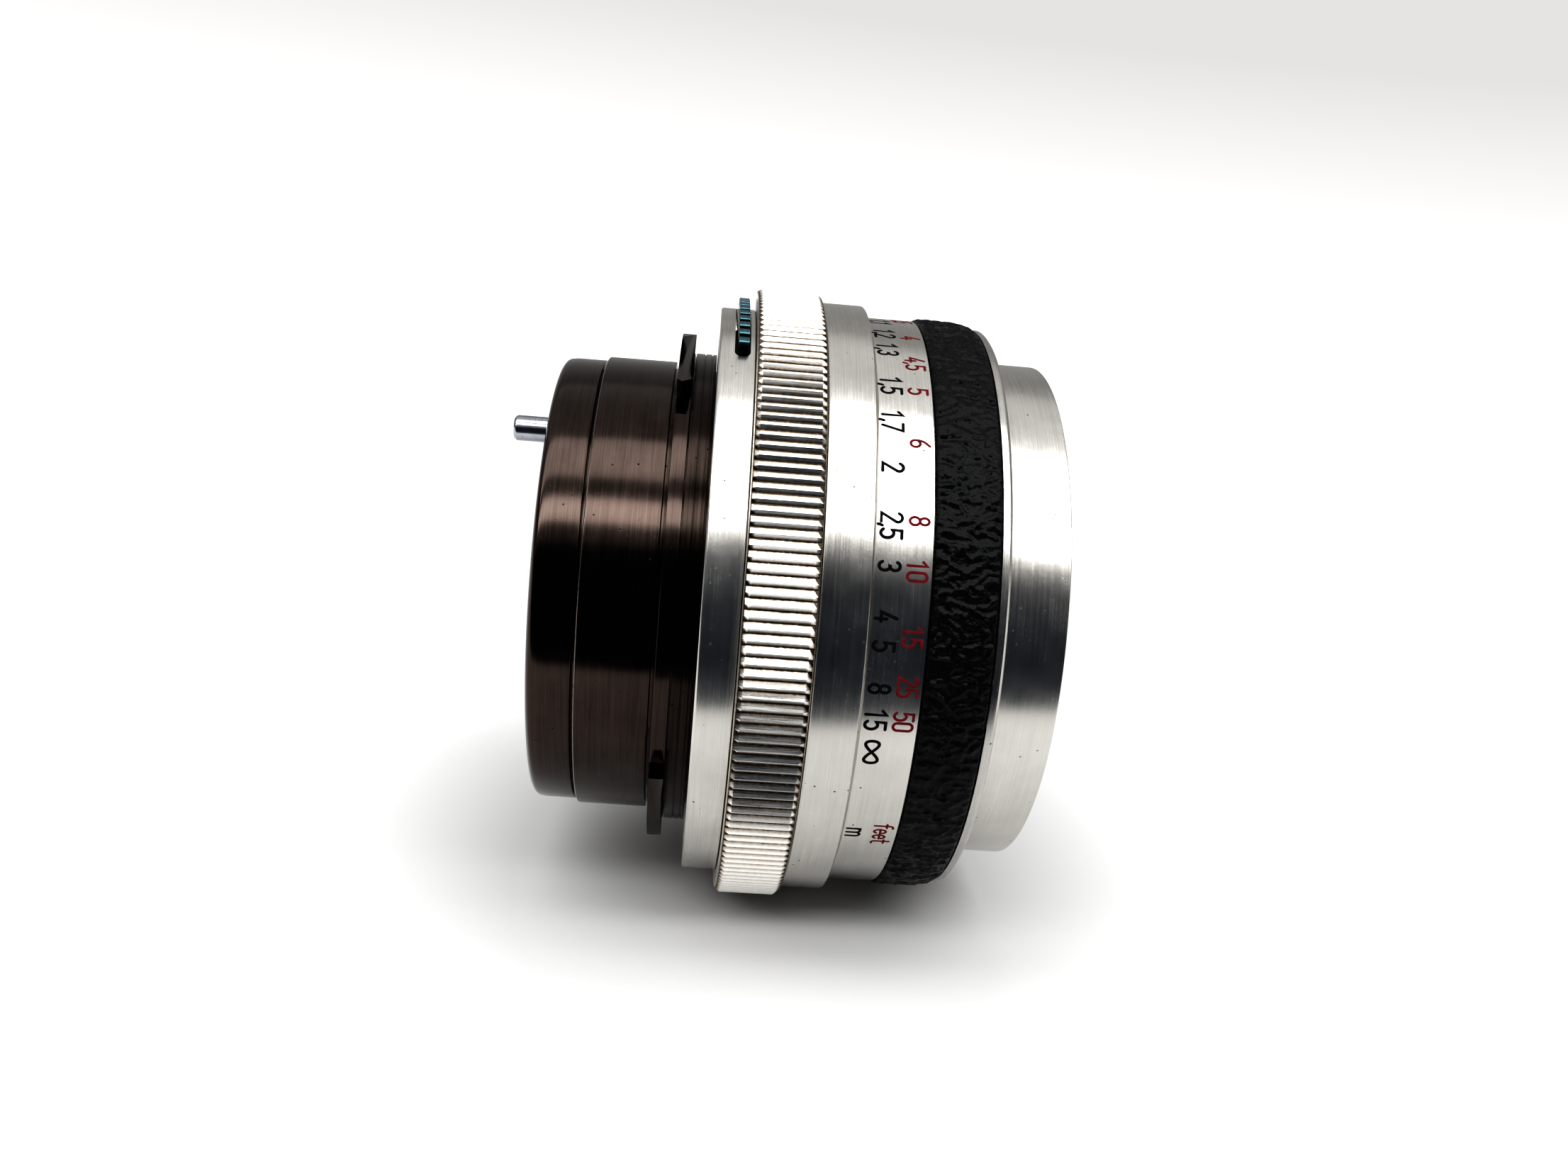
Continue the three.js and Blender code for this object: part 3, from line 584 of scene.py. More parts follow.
def lug_ring():
    rear, front = stations("bayonet_lug_ring")
    lug_r, corner = 26.0, 1.1
    body = lathe("fine_bayonet_lug_ring", [
        (rear, TUBE_R), (rear, REGISTER_R, 0.1), (front, REGISTER_R, 0.1), (front, TUBE_R),
    ])
    lugs = []
    for middle in LUG_PHIS:
        first, last = middle - LUG_HALF_SPAN, middle + LUG_HALF_SPAN
        phis = np.linspace(first, last, 25)
        shape = [(rear + GAP, phi) for phi in phis[:-1]]
        shape += [(rear + GAP, last - 0.7), (rear + 0.45, last), (front - GAP, last - corner)]
        shape += [(front - GAP, phi) for phi in reversed(phis[:-1])]
        lugs.append(slab("lug", shape, REGISTER_R - 0.9, lug_r))
    combine(body, lugs, "UNION")
    lug_end = LUG_PHIS[0] + LUG_HALF_SPAN
    phis = np.linspace(lug_end + 0.2, lug_end + 5.4, 6)
    shape = [(rear - 0.5, phi) for phi in phis] + [(front - 0.3, phi) for phi in reversed(phis)]
    notch = slab("notch", shape, 23.0, 27.0)
    combine(body, [notch], "DIFFERENCE")
    keep(bevelled(body, 0.07), "housing", BRONZED, "bronzed_mount", "bayonet_lug_ring")


def register_ring():
    rear, front = stations("register_ring")
    outline = [(rear, TUBE_R), (rear, REGISTER_R, 0.08)]
    for groove in (-1.22, -0.52):
        for shift, depth in ((-0.07, 0), (-0.03, 0.12), (0.03, 0.12), (0.07, 0)):
            outline.append((groove + shift, REGISTER_R - depth))
    outline += [(front, REGISTER_R, 0.08), (front, TUBE_R)]
    keep(lathe("fine_register_ring", outline), "housing", REGISTER, "steel", "register_ring")


def rear_baffle():
    rear, front = stations("rear_baffle")
    hole_r, rim_r = 14.6, 21.1
    body = lathe("fine_rear_baffle", [
        (rear, hole_r, 0.15), (rear, rim_r), (front, rim_r), (front, hole_r, 0.15),
    ])
    hole = peg("pin_hole", (rear - 1, front + 1), 1.4, PIN_PHI)
    keep(combine(body, [hole], "DIFFERENCE"), "housing", BLACK, "black_metal", "rear_baffle")


def stop_down_pin():
    tip, front = stations("stop_down_pin")
    bush_rear, bush_front, bush_bore_r, bush_r, pin_r = REAR_X + GAP, -12.3, 1.35, 2.1, 1.2
    bush = lathe("fine_pin_bush", [
        (bush_rear, bush_bore_r, 0.15), (bush_rear, bush_r, 0.2), (bush_front, bush_r),
        (bush_front, bush_bore_r),
    ], SMALL_SEGMENTS)
    keep(offset(bush, PIN_CIRCLE_R, PIN_PHI), "housing", BRASS, "brass", "pin_bush")
    pin = lathe_solid("fine_stop_down_pin", [
        (tip, 0), (tip, 0.95), (tip + 0.22, pin_r, 0.15), (front, pin_r, 0.2), (front, 0),
    ])
    keep(offset(pin, PIN_CIRCLE_R, PIN_PHI), "plunger", BRIGHT_STEEL, "steel", "stop_down_pin")
    pin_spring()


def pin_spring():
    rear, front = stations("pin_spring")
    wire, coil_r, turns, around = 0.12, 1.47, 9, 10
    steps = turns * 24
    length = front - rear
    points = []
    for i in range(steps + 1):
        share = i / steps
        angle = 2 * math.pi * turns * share
        x = rear + wire + (length - 2 * wire) * share
        for k in range(around):
            bend = 2 * math.pi * k / around
            r = coil_r + wire * math.cos(bend)
            spot = (x + wire * math.sin(bend), r * math.cos(angle), r * math.sin(angle))
            points.append(tuple(v * MM for v in spot))
    faces = []
    for i in range(steps):
        for k in range(around):
            a, b = i * around + k, i * around + (k + 1) % around
            faces.append((a, b, b + around, a + around))
    faces += [tuple(reversed(range(around))), tuple(range(steps * around, (steps + 1) * around))]
    spring = outward(solid("fine_pin_spring", points, faces, 60))
    offset(spring, PIN_CIRCLE_R, PIN_PHI)
    keep(spring, "plunger", STEEL, "steel", "pin_spring")
    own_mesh(spring)


# ---- collar and mode lever -----------------------------------------------------------------

COLLAR_R = outer_radius("mode_collar")
RING_SEAT_R = 26.75  # outside of the mode ring, and bore of the index ring


def stadium(x_range, phi_range, r):
    """An outline in (x, phi) with round ends."""
    half = (x_range[1] - x_range[0]) / 2
    middle = (x_range[0] + x_range[1]) / 2
    end = math.degrees(half / r)
    first, last = phi_range[0] + end, phi_range[1] - end
    bends = [math.radians(t) for t in np.linspace(-90, 90, 10)]
    shape = [(middle - half, phi) for phi in np.linspace(first, last, 20)[1:-1]]
    shape += [(middle + half * math.sin(t), last + end * math.cos(t)) for t in bends]
    shape += [(middle + half, phi) for phi in np.linspace(last, first, 20)[1:-1]]
    shape += [(middle - half * math.sin(t), first - end * math.cos(t)) for t in bends]
    return shape


def mode_collar():
    rear, front = stations("mode_collar")
    seat_x, step_r, face_front = 0.2, 26.3, 3.35
    groove_x, groove_r, hub_r = 1.1, 27.1, 24.3
    body = lathe("fine_mode_collar", [
        (seat_x, TUBE_R), (seat_x, step_r), (rear, step_r), (rear, COLLAR_R - 0.15, 0.05),
        (rear + 0.18, COLLAR_R, 0.1), (face_front, COLLAR_R, 0.12), (face_front, groove_r, 0.05),
        (groove_x, groove_r), (groove_x, hub_r), (front, hub_r), (front, TUBE_R),
    ])
    slot = slab("slot", stadium((1.43, 2.9), (-111, -61), COLLAR_R), 26.7, COLLAR_R + 1)
    combine(body, [slot], "DIFFERENCE")
    keep(body, "housing", BRIGHT_ALUMINIUM, "turned_aluminium", "mode_collar")
    ring_rear, ring_front, ring_bore_r = 1.3, 3.1, 24.5
    ring = lathe("fine_mode_ring", [
        (ring_rear, ring_bore_r), (ring_rear, RING_SEAT_R, 0.05), (ring_front, RING_SEAT_R, 0.05),
        (ring_front, ring_bore_r),
    ])
    keep(ring, "mode_lever", BLACK, "brass", "mode_ring")
    mode_tab()


def mode_tab():
    rear, front = stations("mode_tab")
    first, last = -99.0, -62.5
    inner, top, notch = 26.85, 30.0, 29.25
    teeth = 12
    pitch = (last - first) / teeth
    levels = [(first, inner), (first, notch + 0.2)]
    for i in range(teeth):
        start = first + i * pitch
        if i:
            levels += [(start, notch), (start + 0.38 * pitch, notch)]
        levels += [(start + (0.40 if i else 0.08) * pitch, top - 0.06), (start + 0.46 * pitch, top)]
        levels += [(start + 0.90 * pitch, top), (start + 0.98 * pitch, top - 0.08)]
    levels += [(last, notch + 0.3), (last, inner)]
    under = [(phi, inner) for phi in np.linspace(last, first, 12)[1:-1]]
    outline = levels + under
    count = len(outline)
    points = [place(x, r, phi) for x in (rear, front) for phi, r in outline]
    faces = [tuple(range(count)), tuple(reversed(range(count, 2 * count))), *side_faces(count)]
    tab = outward(solid("fine_mode_tab", points, faces))
    keep(bevelled(tab, 0.04), "mode_lever", BLUED, "blued_steel", "mode_tab")


# ---- aperture ring -------------------------------------------------------------------------

TEETH = 196


def aperture_ring():
    rear, front = stations("aperture_ring")
    top_r = outer_radius("aperture_ring")
    floor_r, bore_r = top_r - KNURL_DEPTH, 26.85
    end_r = floor_r - 0.06
    chamfer = 0.5
    pitch = 360 / TEETH
    # one tooth, as shares of the pitch and radii: a long rise, a narrow crest and a shorter
    # fall, with the groove's narrow floor left up to the next tooth
    tooth = [(0.0, floor_r), (0.555, top_r - 0.005), (0.575, top_r - 0.005), (0.93, floor_r)]

    def limit(x):
        inward = min(x - rear, front - x)
        return min(top_r, end_r + (top_r - end_r) * inward / chamfer)

    meet = chamfer * (floor_r - end_r) / (top_r - end_r)
    near = [0.0, meet, chamfer * 0.93, chamfer, chamfer + 0.08]
    rows = [rear + d for d in near] + [(rear + front) / 2] + [front - d for d in reversed(near)]
    points = []
    for j in range(TEETH):
        for share, r in tooth:
            phi = (j + share) * pitch
            points += [place(x, min(r, limit(x)), phi) for x in rows]
            points += [place(x, bore_r, phi) for x in (front, rear)]
    body = solid("fine_aperture_ring", points, grid_faces(len(rows) + 2, TEETH * len(tooth)), 20)
    keep(body, "aperture_control", KNURLED, "knurled_aluminium", "aperture_ring")


# ---- figures -------------------------------------------------------------------------------


def arc(cx, cy, rx, ry, start, end, steps=14):
    angles = np.radians(np.linspace(start, end, steps))
    return [(cx + rx * math.cos(a), cy + ry * math.sin(a)) for a in angles]


FIGURE_WIDTH = 0.42
INFINITY = "i"  # the letter that stands for the infinity mark


def glyphs():
    """Each figure as pen strokes in a box 1 high and about 0.42 wide."""
    w = FIGURE_WIDTH
    h = w / 2
    loop = arc(h, 1 - h, h, h, 0, 180) + arc(h, h, h, h, 180, 360)
    six = [(0.33, 1.0)] + arc(w, 0.32, w, 0.62, 118, 172, 8) + arc(h, 0.25, h, 0.25, 180, 500, 26)
    five_bowl = arc(h - 0.02, 0.31, h + 0.02, 0.31, 128, -140, 20)
    lying_eight = [(0.625 * math.cos(t) + 0.63, 0.5 + 0.33 * math.sin(2 * t))
                   for t in np.linspace(0, 2 * math.pi, 49)]
    return {
        "0": [loop + loop[:1]],
        "1": [[(0.04, 0.80), (0.24, 1.0), (0.24, 0.0)]],
        "2": [arc(h, 1 - h, h, h, 165, -38, 16) + [(0.0, 0.0), (w, 0.0)]],
        "3": [arc(h, 0.755, h - 0.01, 0.245, 150, -88, 18) + arc(h, 0.265, h, 0.265, 86, -152, 20)],
        "4": [[(0.27, 1.0), (0.0, 0.27), (w, 0.27)], [(0.31, 0.52), (0.31, 0.0)]],
        "5": [[(w - 0.02, 1.0), (0.05, 1.0), (0.03, 0.54)] + five_bowl],
        "6": [six],
        "7": [[(0.0, 1.0), (w, 1.0), (0.12, 0.0)]],
        "8": [arc(h, 0.76, h - 0.03, 0.24, -90, 270, 24), arc(h, 0.26, h, 0.26, 90, 450, 26)],
        "9": [[(w - x, 1 - y) for x, y in six]],
        ",": [[(0.03, 0.05), (-0.02, -0.12)]],
        ".": [[(0.0, 0.0), (0.0, 0.02)]],
        "m": [[(0, 0), (0, 0.66)], arc(0.16, 0.46, 0.16, 0.2, 180, 0, 10) + [(0.32, 0)],
              arc(0.48, 0.46, 0.16, 0.2, 180, 0, 10) + [(0.64, 0)]],
        "f": [[(0.14, 0)] + arc(0.30, 0.84, 0.16, 0.16, 180, 80, 8), [(0.0, 0.66), (0.30, 0.66)]],
        "e": [[(0.02, 0.36), (0.38, 0.36)] + arc(0.2, 0.34, 0.18, 0.32, 5, 320, 22)],
        "t": [[(0.12, 0.95)] + arc(0.28, 0.16, 0.16, 0.16, 180, 290, 8), [(0, 0.66), (0.30, 0.66)]],
        INFINITY: [lying_eight],
    }


GLYPHS = glyphs()
ADVANCE = {",": 0.20, ".": 0.26, "m": 0.84, INFINITY: 1.26, "f": 0.46, "t": 0.44, "e": 0.52}
PLAIN_ADVANCE = 0.585


class Strokes:
    """Engraved and filled strokes on a turned surface, gathered into one mesh."""

    def __init__(self, r):
        self.r, self.points, self.faces = r, [], []

    def line(self, path, half_width):
        """A flat-domed ribbon along path, points of (x mm, arc length mm), its ends round."""
        proud, sunk = 0.012, -0.02
        path = np.array(path, float)
        step = np.diff(path, axis=0)
        step /= np.linalg.norm(step, axis=1)[:, None] + 1e-12
        closed = np.linalg.norm(path[0] - path[-1]) < 1e-6
        before = np.vstack([step[-1:] if closed else step[:1], step])
        after = np.vstack([step, step[:1] if closed else step[-1:]])
        mean = before + after
        mean /= np.linalg.norm(mean, axis=1)[:, None] + 1e-12
        normal = np.stack([-mean[:, 1], mean[:, 0]], axis=1)
        widths = half_width / np.clip(np.abs((mean * after).sum(axis=1)), 0.55, 1)
        if not closed:
            caps = [(1.0, 0.08), (0.87, 0.5), (0.5, 0.866)]
            head = [path[0] - step[0] * half_width * reach for reach, _ in caps]
            tail = [path[-1] + step[-1] * half_width * reach for reach, _ in reversed(caps)]
            shares = half_width * np.array([share for _, share in caps])
            path = np.vstack([head, path, tail])
            normal = np.vstack([normal[:1]] * 3 + [normal] + [normal[-1:]] * 3)
            widths = np.concatenate([shares, widths, shares[::-1]])
        section = [(1.0, sunk), (0.8, proud), (0.0, proud * 1.3), (-0.8, proud), (-1.0, sunk)]
        base = len(self.points)
        for spot, side, width in zip(path, normal, widths):
            for across, lift in section:
                x, along = spot + side * width * across
                self.points.append(place(x, self.r + lift, math.degrees(along / self.r)))
        count, n = len(section), len(path)
        for i in range(n - 1):
            for k in range(count):
                a, b = base + i * count + k, base + i * count + (k + 1) % count
                self.faces.append((a, b, b + count, a + count))
        if not closed:
            self.faces.append(tuple(reversed(range(base, base + count))))
            self.faces.append(tuple(range(base + (n - 1) * count, base + n * count)))

    def text(self, words, x, phi, height, half_width):
        """Figures whose tops point to the front, read in the direction of growing phi."""
        widths = [ADVANCE.get(c, PLAIN_ADVANCE) for c in words]
        last = ADVANCE.get(words[-1], PLAIN_ADVANCE)
        total = sum(widths) - (last - (FIGURE_WIDTH if last == PLAIN_ADVANCE else last))
        along = math.radians(phi) * self.r - total * height / 2
        for letter, width in zip(words, widths):
            for stroke in GLYPHS[letter]:
                path = [(x + v * height, along + u * height) for u, v in stroke]
                self.line(path, half_width)
            along += width * height

    def piece(self, name):
        return outward(solid(name, self.points, self.faces, 50))


# Distance scale: where the mark for a distance lies, from the helicoid's own law.
# A 50 mm lens extends by f^2 / (u - offset) as it focuses on u, and the ring turns with it.
INFINITY_PHI = 27.1 - VIEW_TILT
UNITS_PHI = 47.5 - VIEW_TILT
TURN_PER_INVERSE_METRE = 94.3
NODE_OFFSET_M = 0.128
FOOT_M = 0.3048
METRES = "15 8 5 4 3 2,5 2 1,7 1,5 1,3 1,2 1,1 1 0,9 0,8 0,7 0,6 0,5".split()
FEET = "50 25 15 10 8 6 5 4,5 4 3,5 3 2,5 2 1,75".split()


def scale_phi(mark, unit_m):
    metres = float(mark.replace(",", ".")) * unit_m
    return INFINITY_PHI - TURN_PER_INVERSE_METRE / (metres - NODE_OFFSET_M)


def distance_scale(r):
    metre_x, metre_height = 14.74, 1.81
    foot_x, foot_height = 17.2, 1.68
    thin = 0.165
    black = Strokes(r)
    for mark in METRES:
        black.text(mark, metre_x, scale_phi(mark, 1.0), metre_height, thin)
    black.text(INFINITY, 14.75, INFINITY_PHI, metre_height, thin)
    black.text("m", metre_x, UNITS_PHI, metre_height, 0.14)
    keep(black.piece("metre_figures"), "focus_ring", BLACK_INK, "turned_aluminium")
    red = Strokes(r)
    for mark in FEET:
        red.text(mark, foot_x, scale_phi(mark, FOOT_M), foot_height, 0.145)
    red.text("feet", foot_x, UNITS_PHI, foot_height, 0.13)
    keep(red.piece("foot_figures"), "focus_ring", RED_INK, "turned_aluminium")


# ---- index ring ----------------------------------------------------------------------------

INDEX_PHI = -158.0
APERTURE_PHI = 167.0
STOPS = ["1.8", "2.8", "4", "5.6", "8", "11", "16"]
STOP_STEP = 70 / 6
DEPTH_STEPS = [2.3, 3.4, 4.8, 6.9, 9.6, 13.8]


def index_ring():
    rear, front = stations("index_ring")
    r = outer_radius("index_ring")
    recess_x, recess_r = 10.9, 28.35
    body = lathe("fine_index_ring", [
        (rear, RING_SEAT_R, 0.05), (rear, r - 0.05, 0.12), (rear + 0.2, r, 0.1), (front, r, 0.22),
        (front, recess_r, 0.05), (recess_x, recess_r), (recess_x, RING_SEAT_R),
    ])
    screw_x, screw_phis = 13.1, [100, 170, 240]
    holes = []
    for phi in screw_phis:
        hole = lathe_solid("hole", [(27.8, 0), (27.8, 0.6), (31, 0.6), (31, 0)])
        holes.append(pointing_out(hole, screw_x, phi))
    keep(combine(body, holes, "DIFFERENCE"), "housing", ALUMINIUM, "turned_aluminium", "index_ring")
    foot, head, screw_r = 27.75, 29.95, 0.5
    for number, phi in enumerate(screw_phis, 1):
        outline = [(foot, 0), (foot, screw_r), (head, screw_r, 0.1), (head, 0)]
        screw = lathe_solid(f"fine_index_screw_{number}", outline)
        cut_slot(screw, (29.7, 30.3), (-0.7, 0.7), (-0.11, 0.11))
        keep(pointing_out(screw, screw_x, phi), "housing", STEEL, "steel", f"index_screw_{number}")
    marks = Strokes(r)
    middle = math.radians(INDEX_PHI) * r
    marks.line([(rear + 0.5, middle), (front - 0.5, middle)], 0.13)
    for index, reach in enumerate(DEPTH_STEPS):
        for side in (-1, 1):
            along = middle + side * math.radians(reach) * r
            marks.line([(front - 1.5 - 0.25 * (index % 2), along), (front - 0.5, along)], 0.07)
    keep(marks.piece("index_marks"), "housing", BLACK_INK, "turned_aluminium")


def aperture_figures():
    figures = Strokes(COLLAR_R)
    for index, stop in enumerate(STOPS):
        figures.text(stop, 0.85, APERTURE_PHI + STOP_STEP * index, 1.55, 0.085)
    keep(figures.piece("aperture_figures"), "housing", BLACK_INK, "turned_aluminium")
    pip_top, pip_r = outer_radius("aperture_ring") - 0.01, 0.42
    pip_foot = pip_top - 0.59
    outline = [(pip_foot, 0), (pip_foot, pip_r), (pip_top, pip_r, 0.1), (pip_top, 0)]
    pip = lathe_solid("aperture_pip", outline, 32)
    keep(pointing_out(pip, 4.6, APERTURE_PHI), "aperture_control", RED_INK, "knurled_aluminium")


# ---- focusing ring -------------------------------------------------------------------------


def focus_ring():
    rear = stations("focus_scale_ring")[0]
    r = outer_radius("focus_scale_ring")
    grip_rear, grip_front = stations("grip_band")
    scale_front = grip_rear - 0.07
    bore_r, band_r = 28.25, 28.6
    body = lathe("fine_focus_scale_ring", [
        (rear, bore_r, 0.05), (rear, r - 0.15, 0.05), (rear + 0.2, r, 0.12), (scale_front, r, 0.14),
        (scale_front, band_r, 0.02), (grip_front, band_r), (grip_front, bore_r),
    ])
    keep(body, "focus_ring", ALUMINIUM, "turned_aluminium", "focus_scale_ring")
    distance_scale(r)
    grip_band(grip_rear, grip_front)
    trim_ring()


def grip_band(rear, front):
    """The leatherette band, with its own pebbled and creased skin."""
    top = outer_radius("grip_band")
    under_r = 28.68
    around, across = 1080, 44
    length = front - rear
    places, heights = zip(
        (0.0, top - 0.42), (0.25, top - 0.12), (0.6, top), (length * 0.7, top - 0.04),
        (length - 0.5, top - 0.3), (length - 0.12, top - 0.5), (length, top - 0.72),
    )
    points = []
    for j in range(around):
        phi = 360 * j / around
        angle = math.radians(phi)
        y, z = top * math.cos(angle), top * math.sin(angle)
        for i in range(across + 1):
            x = length * i / across
            base = np.interp(x, places, heights)
            edge = min(1.0, x / 0.5, (length - x) / 0.5)
            warp = noise.noise_vector(Vector((x * 0.6, y * 0.6, z * 0.6))) * 0.7
            creases = noise.noise(Vector((x * 0.55 + warp.x, y * 1.25 + warp.y, z * 1.25 + warp.z)))
            pebbles = noise.noise(Vector((x * 1.9, y * 2.3 + 7, z * 2.3)))
            ridge = 1 - abs(creases) * 2.6
            drop = 0.22 - 0.22 * max(0.0, ridge) + 0.08 * pebbles
            depth = min(0.36, max(0.0, drop + 0.04)) * (0.45 + 0.55 * edge)
            points.append(place(rear + x, base - depth, phi))
        points += [place(front, under_r, phi), place(rear, under_r, phi)]
    body = solid("fine_grip_band", points, grid_faces(across + 3, around), 60)
    keep(body, "focus_ring", LEATHER, "leatherette", "grip_band")


def trim_ring():
    rear, front = stations("trim_ring")
    r = outer_radius("trim_ring")
    bore_r = 25.65
    body = lathe("fine_trim_ring", [
        (rear, bore_r, 0.05), (rear, r - 0.02, 0.06), (front - 0.3, r - 0.05, 0.06),
        (front, r - 0.4, 0.08), (front, bore_r, 0.05),
    ])
    keep(body, "focus_ring", DULL_ALUMINIUM, "turned_aluminium", "trim_ring")


# ---- front ---------------------------------------------------------------------------------


def filter_ring():
    rear, front = stations("filter_ring")
    r = outer_radius("filter_ring")
    recess, seat_r, seat_x = r - 1.05, 22.95, 27.3
    outline = [(rear, seat_r), (rear, r), (front, r, 0.24), (front, recess + 0.1, 0.1)]
    pitch, root = 0.75, recess + 0.3
    for i in range(5):
        start = front - 0.2 - i * pitch
        outline += [(start, recess), (start - 0.3, root), (start - 0.45, root)]
    outline += [(28.2, recess), (seat_x, recess), (seat_x, seat_r)]
    body = lathe("fine_filter_ring", outline)
    keep(body, "optical_barrel", ALUMINIUM, "turned_aluminium", "filter_ring")


def name_ring():
    face = 28.0
    outline = [(26.6, 15.9), (26.6, 16.6), (27.4, 17.9), (27.4, 24.3), (face, 24.3, 0.06)]
    for groove in (23.7, 18.3):
        for shift, depth in ((0.09, 0), (0.04, 0.09), (-0.04, 0.09), (-0.09, 0)):
            outline.append((face - depth, groove + shift))
    outline += [(face, 17.4, 0.08), (27.0, 15.9, 0.1)]
    keep(lathe("fine_name_ring", outline), "optical_barrel", BLACK, "black_metal", "name_ring")


def front_cell():
    cell = lathe("fine_front_cell", [
        (13.6, 10.0), (13.6, 18.7), (16.2, 18.7), (16.2, 17.4), (25.5, 17.4), (25.5, 21.85),
        (26.5, 21.85, 0.05), (26.5, 15.55, 0.1), (21.5, 15.55), (21.5, 12.65), (14.15, 12.65),
        (14.15, 10.0),
    ])
    keep(cell, "optical_barrel", BLACK, "black_metal", "front_cell")
    names = ("front_retainer", "rear_retainer", "spacer_ring")
    for name, inner, outer in zip(names, (14.6, 10.7, 11.6), (15.45, 11.6, 12.5)):
        rear, front = stations(name)
        outline = [(rear, inner, 0.12), (rear, outer), (front, outer), (front, inner, 0.12)]
        keep(lathe(f"fine_{name}", outline), "optical_barrel", BLACK, "black_metal", name)


def rear_cell():
    """The rear cell, stepped inside to seat its three elements."""
    rear = stations("rear_cell")[0]
    outline = [
        (rear, 11.75, 0.1), (rear, 13.2, 0.2), (-3.0, 14.2, 0.2), (9.15, 14.2), (9.15, 10.95),
        (2.1, 10.95), (2.1, 10.2), (-1.4, 10.2), (-1.4, 11.75),
    ]
    keep(lathe("fine_rear_cell", outline), "optical_barrel", BLACK, "black_metal", "rear_cell")


def spherical(vertex, curve, r):
    """Where a surface lies at r from the axis. A radius of curvature of 0 means that it is flat."""
    if curve == 0:
        return vertex
    return vertex - (curve - math.copysign(math.sqrt(curve * curve - r * r), curve))


def glass_elements():
    """Six elements, each given as (rim radius, front surface, rear surface). A surface is (vertex
    x, radius of curvature, clear radius)."""
    elements = {
        "front_element": (15.4, (26.8, 36, 15.4), (22.5, 150, 15.4)),
        "second_element": (12.5, (22.2, 22, 12.5), (17.7, 0, 12.5)),
        "third_element": (12.5, (17.65, 0, 12.5), (16.6, 20, 9.5)),
        "fourth_element": (10.8, (6.2, -15, 9), (5.1, 0, 10.8)),
        "fifth_element": (10.8, (5.05, 0, 10.8), (-0.3, -22, 10.8)),
        "rear_element": (11.6, (-0.65, 60, 11.6), (-4.25, -38, 11.6)),
    }
    steps = 16
    for name, (rim, front, rear) in elements.items():
        outline = []
        for (vertex, curve, clear), order in ((rear, 1), (front, -1)):
            radii = [clear * k / steps for k in range(steps + 1)]
            side = [(spherical(vertex, curve, r), r) for r in radii]
            if clear < rim:
                side.append((side[-1][0], rim))
            outline += side[::order]
        body = lathe_solid(f"fine_{name}", outline, 128)
        keep(body, "optical_barrel", GLASS, "optical_glass", name)


# ---- build ---------------------------------------------------------------------------------

rear_cap()
sleeve()
lug_ring()
register_ring()
rear_baffle()
stop_down_pin()
mode_collar()
aperture_ring()
index_ring()
aperture_figures()
focus_ring()
filter_ring()
name_ring()
front_cell()
rear_cell()
glass_elements()

# nodes inside the lens that show as the CAD part has them
PLAIN_NODES = (
    (STEEL, ["pin_clip", "guide_key", "guide_key_screw", "click_ball", "aperture_fork"]),
    (STEEL, ["iris_lever", "housing_screw_1", "housing_screw_2", "housing_screw_3"]),
    (BLACK, ["main_housing", "iris_housing"]),
    (BRASS, ["infinity_stop", "focus_stop", "focus_helicoid", "barrel_helicoid", "iris_cam_ring"]),
    (BLADE, [f"iris_blade_{i}" for i in range(1, 9)]),
)
for look, nodes in PLAIN_NODES:
    for node in nodes:
        frame["nodes"][node].data.materials.clear()
        frame["nodes"][node].data.materials.append(look)

# ---- stage, light and camera ---------------------------------------------------------------

FLOOR_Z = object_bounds()[0].z


def plain_material(name, colour, rough):
    look, tree, shader = blank_material(name)
    feed(tree, shader, {"Base Color": (*colour, 1), "Roughness": rough, "Specular IOR Level": 0.2})
    return look, tree, shader


def sheet(name, corners, look):
    made = solid(name, corners, [(0, 1, 2, 3)])
    made.data.materials.append(look)
    return made


def hide_from(made, *rays):
    for ray in rays:
        setattr(made, f"visible_{ray}", False)


def stage_distance(tree):
    """How far a point of the floor lies from the middle of the lens, less far across its axis."""
    moved = add(tree, "ShaderNodeMapping", {
        "Vector": own_coordinates(tree), "Location": (-0.008, 0, 0), "Scale": (1, 0.6, 0),
    })
    away = add(tree, "ShaderNodeVectorMath", {0: moved.outputs[0]}, operation="LENGTH")
    return away.outputs["Value"]


def floor():
    """A pale floor that gives off more light of its own the farther it is from the lens."""
    look, tree, shader = plain_material("floor", (0.52, 0.52, 0.52), 0.8)
    away = stage_distance(tree)
    near = remap(tree, away, 0.026, 0.045, 0.0, 0.16)
    far = remap(tree, away, 0.04, 0.45, 0.0, 0.62)
    feed(tree, shader, {
        "Emission Strength": calc(tree, "ADD", near, far), "Emission Color": (1.0, 0.995, 0.99, 1),
    })
    half = 3.0
    corners = [(-half, -half), (half, -half), (half, half), (-half, half)]
    sheet("floor", [(x, y, FLOOR_Z) for x, y in corners], look)


